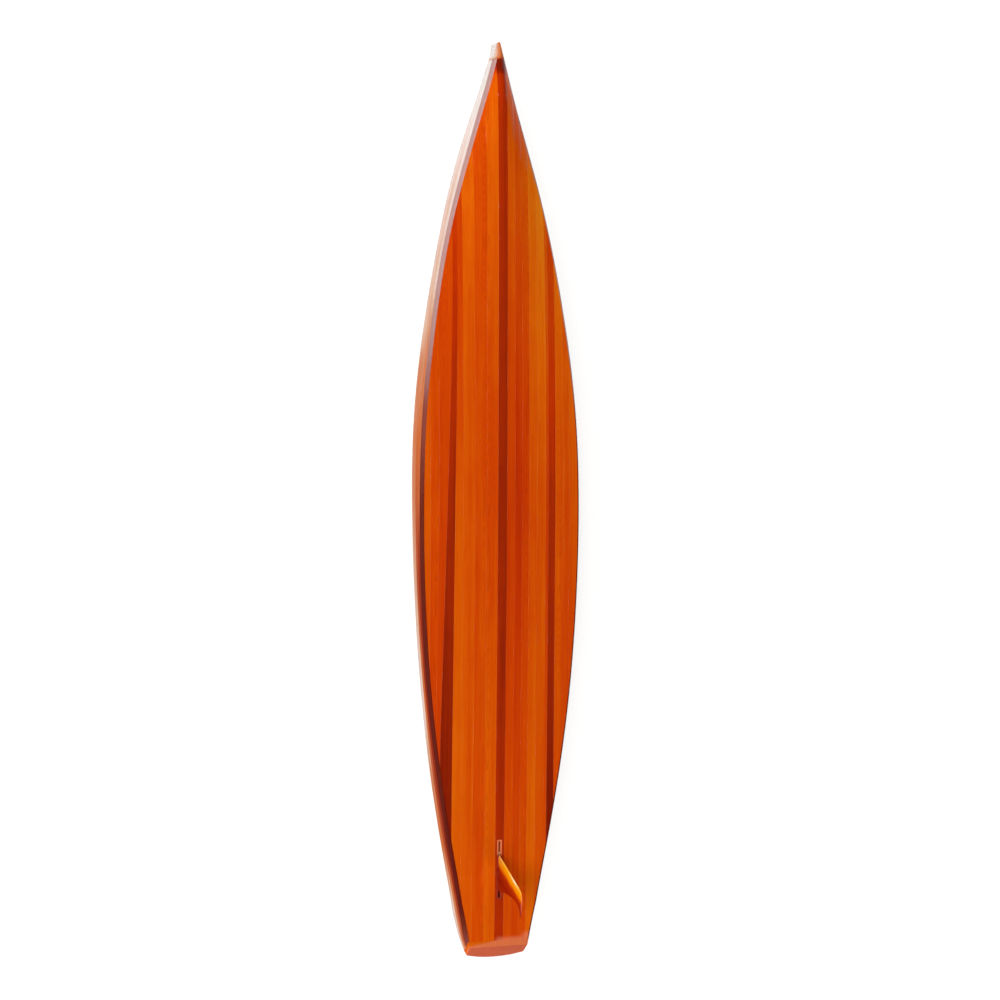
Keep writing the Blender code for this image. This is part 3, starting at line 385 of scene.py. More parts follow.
# Varnished cedar by tone, from dark to light
CEDAR_TONES = (
    (0.00, linear(118, 24, 4)), (0.20, linear(156, 39, 5)), (0.38, linear(188, 48, 3)),
    (0.58, linear(204, 68, 3)), (0.78, linear(217, 97, 6)), (1.00, linear(228, 128, 22)),
)
# The rail's tones: near-white for painted reflection, orange for the wood, dark red for painted shade
RAIL_TONES = (
    (0.00, linear(132, 35, 13)), (0.15, linear(160, 48, 20)), (0.35, linear(190, 87, 50)),
    (0.50, linear(210, 112, 58)), (0.65, linear(214, 140, 104)), (0.80, linear(228, 184, 158)),
    (0.90, linear(236, 208, 198)), (1.00, linear(240, 232, 228)),
)
# The dark chine strip; its pale pinkish-grey stops are painted reflection
CHINE_TONES = (
    (0.00, linear(96, 16, 8)), (0.25, linear(112, 40, 24)), (0.50, linear(146, 72, 62)),
    (0.75, linear(176, 130, 126)), (1.00, linear(198, 154, 149)),
)
# Along the fin from its leading edge, as shares of FIN_TONE_REACH; the palest yellow right at the edge is a
# painted highlight
FIN_TONES = (
    (0.00, linear(250, 186, 56)), (0.07, linear(244, 152, 8)), (0.19, linear(238, 136, 2)),
    (0.25, linear(216, 84, 4)), (0.33, linear(176, 42, 6)), (0.60, linear(150, 26, 4)),
    (1.00, linear(172, 44, 4)),
)
FIN_TONE_REACH = 0.150
# Pink of the painted reflection near the tail and of the painted highlights on the fin; cream of a painted
# highlight on the fin's leading edge
REFLECTION_PINK = linear(226, 126, 88)
CREAM_HIGHLIGHT = linear(255, 236, 190)
# The wood's own colour over the colour it shows in this light, which is brighter on the sides
TOP_EXPOSURE, SIDE_EXPOSURE, END_EXPOSURE, FIN_EXPOSURE = 0.56, 0.47, 0.50, 0.52


def new_material(name):
    material = bpy.data.materials.new(name)
    material.use_nodes = True
    graph = Graph(material.node_tree)
    return material, graph, material.node_tree.nodes["Principled BSDF"]


# Noise scales in cycles a metre along X, Y and Z: the grain runs along Y
WANDER_SCALE, PITH_SCALE = (2.0, 0.9, 2.0), (0.0, 0.8, 0.0)
BROAD_SCALE, STREAK_SCALE = (26.0, 0.55, 26.0), (130.0, 1.1, 130.0)
FIBRE_SCALE, FLECK_SCALE = (1300.0, 9.0, 1300.0), (900.0, 70.0, 900.0)
BLOTCH_SCALE, RAGGED_SCALE, RIPPLE_SCALE = (14.0, 7.0, 14.0), (60.0, 3.0, 60.0), (38.0, 16.0, 38.0)
SEED_SHIFT, SEED_TO_PITH = (3.71, 17.3, 5.19), 5.77
WANDER_REACH = 0.030
BROAD_GAIN, STREAK_GAIN, MOTTLE_GAIN = 2.2, 2.6, 2.0
PITH_ASIDE, PITH_DEPTH, PITH_MIDDLE, PITH_LEAST = 0.16, 0.16, 0.35, 0.012
RING_SPACING, RING_RAGGED, RING_SHARPNESS = 0.0034, 0.0016, 3.0
FIBRE_SHADE, FLECK_SHADE = 0.16, 0.10
FLECK_LOW, FLECK_HIGH = 0.64, 0.76
WOOD_ROUGHNESS, LATE_WOOD_ROUGHER = 0.42, 0.10
COAT_ROUGHNESS, COAT_IOR = 0.045, 1.5
GRAIN_BUMP, RIPPLE_BUMP = (0.15, 0.0002), (0.35, 0.0004)


def ring_shade(graph, shifted, bend, ring):
    """Growth rings: arcs about a pith that wanders nearer to and further from the face."""
    seed = graph.attribute("seed")
    pith = graph.swing(graph.math("FRACT", graph.math("MULTIPLY", seed, SEED_TO_PITH)), PITH_ASIDE)
    deep = graph.math("SUBTRACT", graph.noise(shifted, PITH_SCALE, 1.0), PITH_MIDDLE)
    deep = graph.math("MULTIPLY_ADD", deep, PITH_DEPTH, PITH_LEAST)
    aside = graph.math("ADD", graph.math("SUBTRACT", graph.attribute("across"), pith), bend)
    squares = graph.math("ADD", graph.math("MULTIPLY", aside, aside), graph.math("MULTIPLY", deep, deep))
    ragged = graph.swing(graph.noise(shifted, RAGGED_SCALE), RING_RAGGED)
    radius = graph.math("ADD", graph.math("SQRT", squares), ragged)
    ring_step = graph.math("FRACT", graph.math("DIVIDE", radius, RING_SPACING))
    late = graph.math("POWER", ring_step, RING_SHARPNESS)
    return late, graph.math("SUBTRACT", 1.0, graph.math("MULTIPLY", late, ring))


def varnished_wood(name, tones, streak=0.10, ring=0.16, coat=0.6, mottle=0.05, exposure=TOP_EXPOSURE):
    """Clear-coated wood, its grain along Y. Each piece carries its tone, seed and distance across."""
    material, graph, shader = new_material(name)
    spot, seed = graph.position(), graph.attribute("seed")
    shifted = graph.vector("ADD", spot, graph.vector("MULTIPLY", graph.joined(seed, seed, seed), SEED_SHIFT))
    bend = graph.swing(graph.noise(shifted, WANDER_SCALE), WANDER_REACH)
    bent = graph.vector("ADD", shifted, graph.joined(x=bend, z=bend))
    fibre = graph.noise(bent, FIBRE_SCALE)

    level = graph.attribute("tone")
    for noise, gain in (
        (graph.noise(bent, BROAD_SCALE, 1.0), BROAD_GAIN * streak),
        (graph.noise(bent, STREAK_SCALE, 3.0, 0.6), STREAK_GAIN * streak),
        (graph.noise(shifted, BLOTCH_SCALE), MOTTLE_GAIN * mottle),
    ):
        level = graph.math("ADD", level, graph.swing(noise, gain))
    color = graph.ramp(graph.math("ADD", level, 0.0, clamp=True), tones)
    # Painted reflection near the tail and painted highlights on the fin, laid over the wood from the pieces'
    # attributes
    color = graph.mix(graph.attribute("painted_reflection"), color, REFLECTION_PINK)
    color = graph.mix(graph.attribute("cream_highlight"), color, CREAM_HIGHLIGHT)

    late, shade = ring_shade(graph, shifted, bend, ring)
    shade = graph.math("SUBTRACT", shade, graph.swing(fibre, FIBRE_SHADE))
    flecks = graph.spread(graph.noise(shifted, FLECK_SCALE, 1.0), FLECK_LOW, FLECK_HIGH)
    shade = graph.math("SUBTRACT", shade, graph.math("MULTIPLY", flecks, FLECK_SHADE))
    shade = graph.math("MULTIPLY", shade, exposure)
    graph.put(shader.inputs["Base Color"], graph.vector("MULTIPLY", color, graph.joined(shade, shade, shade)))
    graph.put(shader.inputs["Roughness"], graph.math("MULTIPLY_ADD", late, LATE_WOOD_ROUGHER, WOOD_ROUGHNESS))
    shader.inputs["Specular IOR Level"].default_value = 0.0
    shader.inputs["Coat Weight"].default_value = coat
    shader.inputs["Coat Roughness"].default_value = COAT_ROUGHNESS
    shader.inputs["Coat IOR"].default_value = COAT_IOR
    graph.put(shader.inputs["Normal"], graph.bump(graph.math("SUBTRACT", fibre, late), *GRAIN_BUMP))
    ripple = graph.noise(spot, RIPPLE_SCALE, 1.0)
    graph.put(shader.inputs["Coat Normal"], graph.bump(ripple, *RIPPLE_BUMP))
    return material


PLY_GRAIN_SCALE, PLY_FIBRE_SCALE = (60.0, 60.0, 6.0), (700.0, 700.0, 30.0)
PLY_TONES = ((0.3, (0.52, 0.34, 0.18)), (0.5, (0.66, 0.47, 0.28)), (0.7, (0.74, 0.57, 0.37)))
PLY_EDGE, PLY_DARK = (0.30, 0.16, 0.07), (0.40, 0.25, 0.12)
PLY_PAIR = 0.0024  # the thickness of two plies
PLY_BUMP = (0.3, 0.0003)


def plywood():
    material, graph, shader = new_material("birch_plywood")
    spot = graph.position()
    grain = graph.noise(spot, PLY_GRAIN_SCALE, 4.0, 0.6)
    fibre = graph.noise(spot, PLY_FIBRE_SCALE)
    color = graph.ramp(grain, PLY_TONES)
    # The plies show as bands on any face that stands across the sheet
    through = graph.math("ADD", graph.split(spot, "Y"), graph.split(spot, "X"))
    ply = graph.spread(graph.math("FRACT", graph.math("DIVIDE", through, PLY_PAIR)), 0.45, 0.55)
    facing = graph.node("ShaderNodeNewGeometry").outputs["Normal"]
    upright = graph.math("ABSOLUTE", graph.split(facing, "Z"))
    edge = graph.math("MULTIPLY", ply, graph.spread(upright, 0.5, 0.8))
    color = graph.mix(graph.math("MULTIPLY", edge, 0.5), color, PLY_EDGE)
    color = graph.mix(graph.math("MULTIPLY", fibre, 0.25), color, PLY_DARK)
    graph.put(shader.inputs["Base Color"], color)
    graph.put(shader.inputs["Roughness"], graph.math("MULTIPLY_ADD", grain, 0.2, 0.5))
    graph.put(shader.inputs["Normal"], graph.bump(fibre, *PLY_BUMP))
    return material


CLOUD_SCALE, SKIN_SCALE, SCUFF_SCALE = (30.0, 30.0, 30.0), (2600.0, 2600.0, 2600.0), (900.0, 50.0, 300.0)
SKIN_BUMP = (0.35, 0.0001)


def moulded(name, color, pale, roughness):
    """A moulded plastic or rubber, with a fine grained skin and a little scuffing."""
    material, graph, shader = new_material(name)
    spot = graph.position()
    cloud = graph.noise(spot, CLOUD_SCALE, 3.0)
    scuff = graph.spread(graph.noise(spot, SCUFF_SCALE), 0.62, 0.75)
    paleness = graph.math("MULTIPLY_ADD", cloud, 0.5, graph.math("MULTIPLY", scuff, 0.25))
    graph.put(shader.inputs["Base Color"], graph.mix(paleness, color, pale))
    graph.put(shader.inputs["Roughness"], graph.math("MULTIPLY_ADD", cloud, 0.2, roughness - 0.1))
    graph.put(shader.inputs["Normal"], graph.bump(graph.noise(spot, SKIN_SCALE, 1.0), *SKIN_BUMP))
    return material


BOX_CLOUD_SCALE = (60.0, 25.0, 60.0)
BOX_DARK = (linear(104, 22, 8), linear(128, 32, 12))
BOX_PALE = (linear(150, 66, 34), linear(182, 96, 56))
PALE_FROM, PALE_TO = FIN_BOX_Y + 0.064, FIN_BOX_Y + 0.074


def box_resin():
    """The fin box: red-brown resin, paler ahead of the fin, in its slot too."""
    material, graph, shader = new_material("fin_box_resin")
    spot = graph.position()
    cloud = graph.noise(spot, BOX_CLOUD_SCALE, 3.0)
    front = graph.spread(graph.split(spot, "Y"), PALE_FROM, PALE_TO)
    color = graph.mix(front, graph.mix(cloud, *BOX_DARK), graph.mix(cloud, *BOX_PALE))
    graph.put(shader.inputs["Base Color"], color)
    graph.put(shader.inputs["Roughness"], graph.math("MULTIPLY_ADD", cloud, 0.2, 0.5))
    shader.inputs["Specular IOR Level"].default_value = 0.15
    graph.put(shader.inputs["Normal"], graph.bump(graph.noise(spot, SKIN_SCALE, 1.0), *SKIN_BUMP))
    return material


LATHE_SCALE, PATCH_SCALE = (200.0, 200.0, 5000.0), (160.0, 160.0, 160.0)
LATHE_BUMP = (0.2, 0.00005)


def metal(name, color, dull, roughness):
    """Machined metal: lathe lines, a few tarnished patches."""
    material, graph, shader = new_material(name)
    spot = graph.position()
    lines = graph.noise(spot, LATHE_SCALE)
    patch = graph.spread(graph.noise(spot, PATCH_SCALE, 3.0), 0.45, 0.75)
    graph.put(shader.inputs["Base Color"], graph.mix(graph.math("MULTIPLY", patch, 0.6), color, dull))
    rough = graph.math("MULTIPLY_ADD", lines, 0.15, roughness - 0.07)
    graph.put(shader.inputs["Roughness"], graph.math("MULTIPLY_ADD", patch, 0.15, rough))
    shader.inputs["Metallic"].default_value = 1.0
    graph.put(shader.inputs["Normal"], graph.bump(lines, *LATHE_BUMP))
    return material


CEDAR = varnished_wood("varnished_cedar", CEDAR_TONES)
RAIL_WOOD = varnished_wood("varnished_rail", RAIL_TONES, streak=0.04, coat=0.03, exposure=SIDE_EXPOSURE)
CHINE_WOOD = varnished_wood(
    "varnished_chine", CHINE_TONES, streak=0.06, ring=0.2, coat=0.03, exposure=SIDE_EXPOSURE
)
FIN_WOOD = varnished_wood(
    "varnished_fin", FIN_TONES, streak=0.03, mottle=0.02, coat=0.3, exposure=FIN_EXPOSURE
)
TAIL_WOOD = varnished_wood("varnished_tail", CEDAR_TONES, streak=0.05, coat=0.1, exposure=END_EXPOSURE)
NOSE_WOOD = varnished_wood("varnished_nose", RAIL_TONES, streak=0.03, coat=0.10, exposure=SIDE_EXPOSURE)
PLYWOOD = plywood()
BOX_PLASTIC = box_resin()
BLACK_PLASTIC = moulded("black_nylon", (0.012, 0.012, 0.013), (0.030, 0.030, 0.031), 0.5)
RUBBER = moulded("black_rubber", (0.010, 0.010, 0.010), (0.022, 0.022, 0.022), 0.75)
STEEL = metal("machined_steel", (0.60, 0.60, 0.59), (0.42, 0.41, 0.39), 0.26)
BRASS = metal("machined_brass", (0.76, 0.53, 0.22), (0.48, 0.31, 0.13), 0.30)

# ---------------------------------------------------------------- Pieces

SHARP_ANGLE = math.radians(35)


def solid_mesh(name, rings, fields):
    """A closed mesh through rings of equally many points; fields are point values by name."""
    count, points = rings.shape[:2]
    verts = rings.reshape(-1, 3)
    index = np.arange(count * points).reshape(count, points)
    ahead = np.roll(index, -1, axis=1)
    quads = np.stack([index[:-1], ahead[:-1], ahead[1:], index[1:]], axis=-1).reshape(-1, 4)
    faces = [*quads.tolist(), index[0][::-1].tolist(), index[-1].tolist()]
    corner = verts[quads]
    volume = np.einsum("ij,ij->i", corner[:, 0], np.cross(corner[:, 1], corner[:, 2])).sum()
    volume += np.einsum("ij,ij->i", corner[:, 0], np.cross(corner[:, 2], corner[:, 3])).sum()
    for cap in (rings[0][::-1], rings[-1]):
        fan = np.cross(cap[1:-1], cap[2:])
        volume += (fan @ cap[0]).sum()
    if volume < 0:
        faces = [face[::-1] for face in faces]
    mesh = bpy.data.meshes.new(name)
    mesh.from_pydata(verts.tolist(), [], faces)
    for field, values in fields.items():
        wide = np.broadcast_to(np.asarray(values, float), (count, points))
        mesh.attributes.new(field, "FLOAT", "POINT").data.foreach_set("value", wide.ravel())
    mesh.shade_smooth()
    mesh.set_sharp_from_angle(angle=SHARP_ANGLE)
    return mesh


def add_piece(name, mesh, material, nodes, body="root"):
    piece = bpy.data.objects.new(name, mesh)
    SCENE.collection.objects.link(piece)
    mesh.materials.append(material)
    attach(piece, body)
    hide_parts(*nodes)
    return piece


SEAM = 0.00006
EASED, EASED_MOST_OF_WIDTH = 0.0001, 0.2
LEAST_WIDTH, FEATHER = 0.0003, 0.0006
STATION_STEP, FINE_STATIONS = 0.025, 3000
STRIP_COLUMNS = 4
# The stations between which a strip's edge and its tone drift, from aft to forward
EDGE_STATIONS, TONE_STATIONS = (-1.1, 0.0, 1.1), (-1.7, 0.0, 1.4)
# The painted reflection on the bottom and tail block near the transom: its strength, start, slant and soft
# edge
TAIL_SHEEN, TAIL_SHEEN_Y, TAIL_SHEEN_SLANT, TAIL_SHEEN_EDGE = 0.6, -2.0925, 0.18, 0.004
BOW_SHADE, BOW_SHADE_Y, BOW_SHADE_EDGE = 0.62, 1.975, 0.05


def constant(value):
    return lambda y: np.full(np.shape(y), float(value))


def drifting(stations, bow, middle, tail):
    """A value along the board, from its values at the three stations."""
    return lambda y: np.interp(y, stations, (tail, middle, bow))


def stretch(inner, limit, rear, front):
    """The stations from rear to front over which the plank is wide enough to exist."""
    ys = np.linspace(rear, front, FINE_STATIONS)
    wide = ys[limit(ys) - inner(ys) > FEATHER]
    low, high = wide[0], wide[-1]
    return np.linspace(low, high, max(int((high - low) / STATION_STEP), 4))


def tail_sheen(x, y):
    """How much painted reflection lies on the varnish near the transom, from a line that slants across the
    tail.
    """
    aft = TAIL_SHEEN_Y - y + TAIL_SHEEN_SLANT * x
    return TAIL_SHEEN * np.clip(aft / TAIL_SHEEN_EDGE, 0.0, 1.0)


def bow_shade(y):
    """How far the wood's tone drops just aft of the nose block."""
    return BOW_SHADE * np.clip((y - BOW_SHADE_Y) / BOW_SHADE_EDGE, 0.0, 1.0)


def strip_mesh(name, face, limit, inner, outer, side, ys, tone, seed):
    """A plank of the bottom or the deck with eased long edges."""
    depth = -SKIN if face is bottom_z else SKIN
    ease = math.copysign(EASED, depth)
    x1 = inner(ys) + SEAM
    x2 = np.maximum(np.minimum(outer(ys), limit(ys)) - SEAM, x1 + LEAST_WIDTH)
    width = x2 - x1
    edge = np.minimum(EASED, EASED_MOST_OF_WIDTH * width)
    steps = [x1 + edge + (width - 2 * edge) * i / STRIP_COLUMNS for i in range(STRIP_COLUMNS + 1)]
    lowered = [ease, *[0.0] * len(steps), ease]
    out = [(x, face(x, ys) + drop) for x, drop in zip([x1, *steps, x2], lowered)]
    back = [(x, face(x, ys) + depth) for x in (x2, (x1 + x2) / 2, x1)]
    ring = np.stack([np.stack([side * x, ys, z], axis=-1) for x, z in out + back], axis=1)
    spans = np.stack([x for x, _ in out + back], axis=1)
    level = (tone(ys) - bow_shade(ys))[:, None]
    # Painted reflection on the bottom's varnish near the transom
    painted_reflection = tail_sheen(side * spans, ys[:, None]) if face is bottom_z else 0.0
    fields = {"tone": level, "painted_reflection": painted_reflection, "seed": seed, "across": spans - inner(ys)[:, None]}
    return solid_mesh(name, place(ring), fields)


# Bottom strips from the keel outwards: outer edge at bow, middle and aft; tone at bow, middle and tail
BOTTOM_LEFT = (
    ((0.080,) * 3, (0.70, 0.58, 0.70), "inner"),
    ((0.140,) * 3, (0.60, 0.58, 0.60), "inner"),
    ((0.198,) * 3, (0.72, 0.64, 0.68), "inner"),
    ((0.222, 0.239, 0.246), (0.48, 0.72, 0.70), "inner"),
    ((0.243, 0.277, 0.306), (0.42, 0.18, 0.03), "dark_strip"),
    ((0.318, 0.318, 0.330), (0.54, 0.52, 0.42), "outer"),
    ((0.361,) * 3, (0.64, 0.56, 0.46), "outer"),
    ((1.0,) * 3, (0.68, 0.66, 0.54), "outer"),
)
BOTTOM_RIGHT = (
    ((0.064,) * 3, (0.66, 0.46, 0.60), "inner"),
    ((0.1005,) * 3, (0.62, 0.38, 0.54), "inner"),
    ((0.1366,) * 3, (0.68, 0.46, 0.62), "inner"),
    ((0.180,) * 3, (0.84, 0.60, 0.74), "inner"),
    ((0.2242,) * 3, (0.92, 0.64, 0.64), "inner"),
    ((0.239,) * 3, (0.72, 0.50, 0.56), "inner"),
    ((0.275,) * 3, (0.60, 0.26, 0.0), "dark_strip"),
    ((0.3169,) * 3, (0.92, 0.62, 0.58), "outer"),
    ((0.3478,) * 3, (0.78, 0.58, 0.56), "outer"),
    ((1.0,) * 3, (0.80, 0.62, 0.58), "outer"),
)
DECK_SIDE = (
    ((0.066,) * 3, (0.62, 0.56, 0.60), "inner"),
    ((0.109,) * 3, (0.70, 0.64, 0.58), "inner"),
    ((0.152,) * 3, (0.58, 0.54, 0.62), "inner"),
    ((0.196,) * 3, (0.74, 0.66, 0.60), "inner"),
    ((0.239,) * 3, (0.60, 0.60, 0.52), "inner"),
    ((0.275,) * 3, (0.40, 0.26, 0.20), "dark_strip"),
    ((0.318,) * 3, (0.64, 0.60, 0.62), "outer"),
    ((1.0,) * 3, (0.72, 0.66, 0.58), "outer"),
)
CENTRE_TONES = (0.25, 0.16, 0.28)
CENTRE_SEEDS = {"bottom": 0.93, "deck": 0.61}
SEED_STEP, SEED_RIGHT, SEED_DECK = 0.137, 0.051, 0.5


def make_side_strips(label, rows, side, word, face, limit):
    inner = constant(CENTRE_STRIP_HALF)
    made = []
    for number, (edges, tones, band) in enumerate(rows, 1):
        outer = drifting(EDGE_STATIONS, *edges)
        tone = drifting(TONE_STATIONS, *tones)
        ys = stretch(inner, limit, HULL_TAIL_Y, HULL_NOSE_Y)
        seed = SEED_STEP * number + (SEED_RIGHT if side > 0 else 0.0)
        seed += SEED_DECK if label == "deck" else 0.0
        name = f"{label}_{word}_strip_{number}"
        mesh = strip_mesh(name, face, limit, inner, outer, side, ys, tone, seed)
        made.append(add_piece(name, mesh, CEDAR, [f"{label}_{word}_{band}"]))
        inner = outer
    return made


def make_centre(label, part, face, rear, front, inner=-CENTRE_STRIP_HALF, outer=CENTRE_STRIP_HALF, node=None):
    """A stretch of a centre strip, across the keel or beside a fitting."""
    limit = lip_x if face is deck_z else bottom_limit
    ys = np.linspace(rear, front, max(int((front - rear) / STATION_STEP), 3))

    def inner_at(y):
        return np.maximum(inner, -limit(y))

    tone = drifting(TONE_STATIONS, *CENTRE_TONES)
    name = f"{label}_centre_{part}"
    mesh = strip_mesh(name, face, limit, inner_at, constant(outer), 1, ys, tone, CENTRE_SEEDS[label])
    return add_piece(name, mesh, CEDAR, [node or f"{label}_centre_strip_{part}"])


BEND_STEPS, BEND_REACH, LEAST_REACH = 6, 0.004, 1e-5


def points_along(line, marks, wanted):
    """The points of a line at the wanted distances along it; marks are its own points' distances."""
    return np.stack([np.interp(wanted, marks, line[:, axis]) for axis in (0, 1)], axis=1)


def bent_section(lines, depth, low, high):
    """A plank bent round the outlines from share low to share high: its points and how far along they are.

    The outlines, one at each station, are given from top to bottom, and the depth is the plank's.
    """
    lengths = np.linalg.norm(np.diff(lines, axis=1), axis=2)
    marks = np.concatenate([np.zeros((len(lines), 1)), np.cumsum(lengths, axis=1)], axis=1)
    total = marks[:, -1:]
    wanted = np.linspace(low, high, BEND_STEPS + 1) * total
    wanted[:, 0] += SEAM
    wanted[:, -1] -= SEAM
    reach = BEND_REACH * total / total.max() + LEAST_REACH
    face, inward = [], []
    for line, own, at, near in zip(lines, marks, wanted, reach):
        step = points_along(line, own, at + near) - points_along(line, own, at - near)
        face.append(points_along(line, own, at))
        inward.append(np.stack([step[:, 1], -step[:, 0]], axis=1) / np.hypot(step[:, 0], step[:, 1])[:, None])
    face, inward = np.array(face), np.array(inward)
    back = (face + inward * depth[:, None, None])[:, ::-1]
    return np.concatenate([face, back], axis=1), np.concatenate([wanted, wanted[:, ::-1]], axis=1)


ARC = np.linspace(0.0, math.pi / 2, 11)
SIDE_STATIONS = 168
RAIL_STRIPS = 5
RAIL_DEPTH_SHARE, DEPTH_MOST_OF_RADIUS = 0.95, 0.6
# Tone of the rail by y, for its upper, middle and lower strips: pale at the bow as painted reflection, dark
# red aft as painted shade
RAIL_STATIONS = (-2.1, -1.9, -1.6, -1.3, -1.0, -0.7, -0.4, -0.2, 0.0, 0.3, 0.6, 0.8, 1.0, 1.4, 1.8, 2.05)
RAIL_ROWS = (
    (0.42, 0.22, 0.0, 0.12, 0.14, 0.12, 0.15, 0.22, 0.40, 0.50, 0.55, 0.68, 0.86, 0.92, 0.97, 1.0),
    (0.66, 0.56, 0.26, 0.30, 0.50, 0.42, 0.30, 0.34, 0.40, 0.50, 0.66, 0.76, 0.80, 0.84, 0.96, 1.0),
    (0.84, 0.86, 0.52, 0.60, 0.90, 0.82, 0.76, 0.70, 0.62, 0.58, 0.62, 0.80, 0.84, 0.90, 0.97, 1.0),
)
# How much paler than the lower strip the two strips below it are, as painted reflection
BELOW_LOWER = (0.05, 0.08)
RAIL_SEED_STEP, RAIL_SEED_SIDE = 0.211, 0.07


def rail_outline(ys):
    """The rail's outer line from the chine seam down round the edge to the deck planking."""
    width, deck_width, r = half_width(ys), deck_half_width(ys), rail_radius(ys)
    top, edge = chine_bottom(ys) - GAP, deck_lift(ys)
    points = [(width, top), ((width + deck_width) / 2, (top + edge + r) / 2)]
    points += [(deck_width - r + r * math.cos(a), edge + r - r * math.sin(a)) for a in ARC]
    lip = lip_x(ys) + SEAM
    points.append((lip, deck_z(lip, ys)))
    return np.stack([np.stack(np.broadcast_arrays(x, z), axis=-1) for x, z in points], axis=1)


def rail_tone(number, ys):
    if number < len(RAIL_ROWS):
        return np.interp(ys, RAIL_STATIONS, RAIL_ROWS[number])
    paler = BELOW_LOWER[number - len(RAIL_ROWS)]
    return np.minimum(np.interp(ys, RAIL_STATIONS, RAIL_ROWS[-1]) + paler, 1.0)


def make_rail(side, word):
    ys = np.linspace(HULL_TAIL_Y, HULL_NOSE_Y, SIDE_STATIONS)
    depth = np.minimum(RAIL_DEPTH_SHARE * RAIL_THICKNESS, DEPTH_MOST_OF_RADIUS * rail_radius(ys))
    for number in range(RAIL_STRIPS):
        low, high = number / RAIL_STRIPS, (number + 1) / RAIL_STRIPS
        section, across = bent_section(rail_outline(ys), depth, low, high)
        along = np.broadcast_to(ys[:, None], across.shape)
        rings = np.stack([side * section[..., 0], along, section[..., 1]], axis=-1)
        seed = RAIL_SEED_STEP * number + RAIL_SEED_SIDE * side
        fields = {"tone": rail_tone(number, ys)[:, None], "seed": seed, "across": across}
        name = f"rail_{word}_strip_{number + 1}"
        add_piece(name, solid_mesh(name, place(rings), fields), RAIL_WOOD, [f"rail_{word}"])


# The chine's tone by y: dark along most of the board, raised to painted reflection towards the bow and at the
# very tail
CHINE_STATIONS = (-2.1, -1.9, -0.4, 0.0, 0.4, 0.6, 0.8, 1.0, 1.6)
CHINE_LEVELS = (0.45, 0.05, 0.16, 0.25, 0.5, 0.68, 0.84, 0.94, 1.0)
CHINE_SEED, CHINE_SEED_SIDE, CHINE_GIRTH = 0.37, 0.11, 0.06


def rounded_corner(width, top, radius, angles):
    """The corner between the bottom and the side, at these angles round it."""
    return [(width - radius * (1 - math.sin(a)), top - radius * (1 - math.cos(a))) for a in angles]


def make_chine(side, word):
    ys = np.linspace(HULL_TAIL_Y, HULL_NOSE_Y, SIDE_STATIONS)
    width, top, low = half_width(ys), chine_z(ys), chine_bottom(ys)
    inner = width - CHINE_WIDTH
    points = [(inner, bottom_z(inner, ys)), *rounded_corner(width, top, CHINE_ROUND, ARC[::2])]
    points += [(width, (top + low) / 2), (width, low), (inner, low), (inner, bottom_z(inner, ys) - SKIN)]
    rings = np.stack([np.stack([side * x, ys, z], axis=-1) for x, z in points], axis=1)
    tone = np.interp(ys, CHINE_STATIONS, CHINE_LEVELS)[:, None]
    seed, across = CHINE_SEED + CHINE_SEED_SIDE * side, np.linspace(0, CHINE_GIRTH, len(points))
    fields = {"tone": tone, "seed": seed, "across": across}
    name = f"chine_{word}"
    add_piece(name, solid_mesh(name, place(rings), fields), CHINE_WOOD, [f"chine_strip_{word}"])


def full_rings(ys):
    """The hull's whole outline at each station, for the solid blocks at its two ends."""
    width, deck_width, r = half_width(ys), deck_half_width(ys), rail_radius(ys)
    corner = np.minimum(CHINE_ROUND, CORNER_SHARE * width)
    top, edge = chine_z(ys), deck_lift(ys)
    across = [(width - corner) * part for part in (0.25, 0.5, 0.75, 1.0)]
    half = [(x, bottom_z(x, ys)) for x in across] + rounded_corner(width, top, corner, ARC[2::2])
    half.append(((width + deck_width) / 2, (top - corner + edge + r) / 2))
    half += [(deck_width - r + r * math.cos(a), edge + r - r * math.sin(a)) for a in ARC]
    inside = deck_width - r
    half += [(inside * part, deck_z(inside * part, ys)) for part in (0.66, 0.33)]
    points = [(0 * ys, keel_z(ys)), *half, (0 * ys, deck_z(0, ys)), *[(-x, z) for x, z in reversed(half)]]
    return np.stack([np.stack(np.broadcast_arrays(x, ys, z), axis=-1) for x, z in points], axis=1)


# Where the tail block's sections stand, as shares of its length
TAIL_SECTIONS = np.array((0.0, 0.012, 0.04, 0.09, 0.16, 0.26, 0.40, 0.55, 0.75, 1.0))
# The transom's share of the tail block, its darker tone and the painted reflection evenly over it
TRANSOM_END, TRANSOM_TONE, TRANSOM_REFLECTION = 0.02, 0.30, 0.45
TAIL_TONE, TAIL_SEED, NOSE_SEED = 0.75, 0.77, 0.33
NOSE_SECTIONS, NOSE_CROWDING = 14, 0.9
NOSE_TONE, NOSE_SIDE_PALER, NOSE_SIDE_DROP = 0.50, 0.50, 0.02
NOSE_JOINT_DARKER, NOSE_JOINT_REACH = 0.35, 0.008


def make_tail_end():
    """The tail block: its raked end face, the transom, is darker under an even painted reflection, and its
    top has the tail's painted reflection.
    """
    ys = -LENGTH / 2 + TAIL_BLOCK_LENGTH * TAIL_SECTIONS
    rings = full_rings(ys)
    ahead = TAIL_SECTIONS[:, None] > TRANSOM_END
    fields = {
        "tone": np.where(ahead, TAIL_TONE, TRANSOM_TONE), "seed": TAIL_SEED, "across": rings[..., 0],
        "painted_reflection": np.where(ahead, tail_sheen(rings[..., 0], ys[:, None]), TRANSOM_REFLECTION),
    }
    mesh = solid_mesh("tail_end", place(rings), fields)
    add_piece("tail_end", mesh, TAIL_WOOD, ["tail_block"])


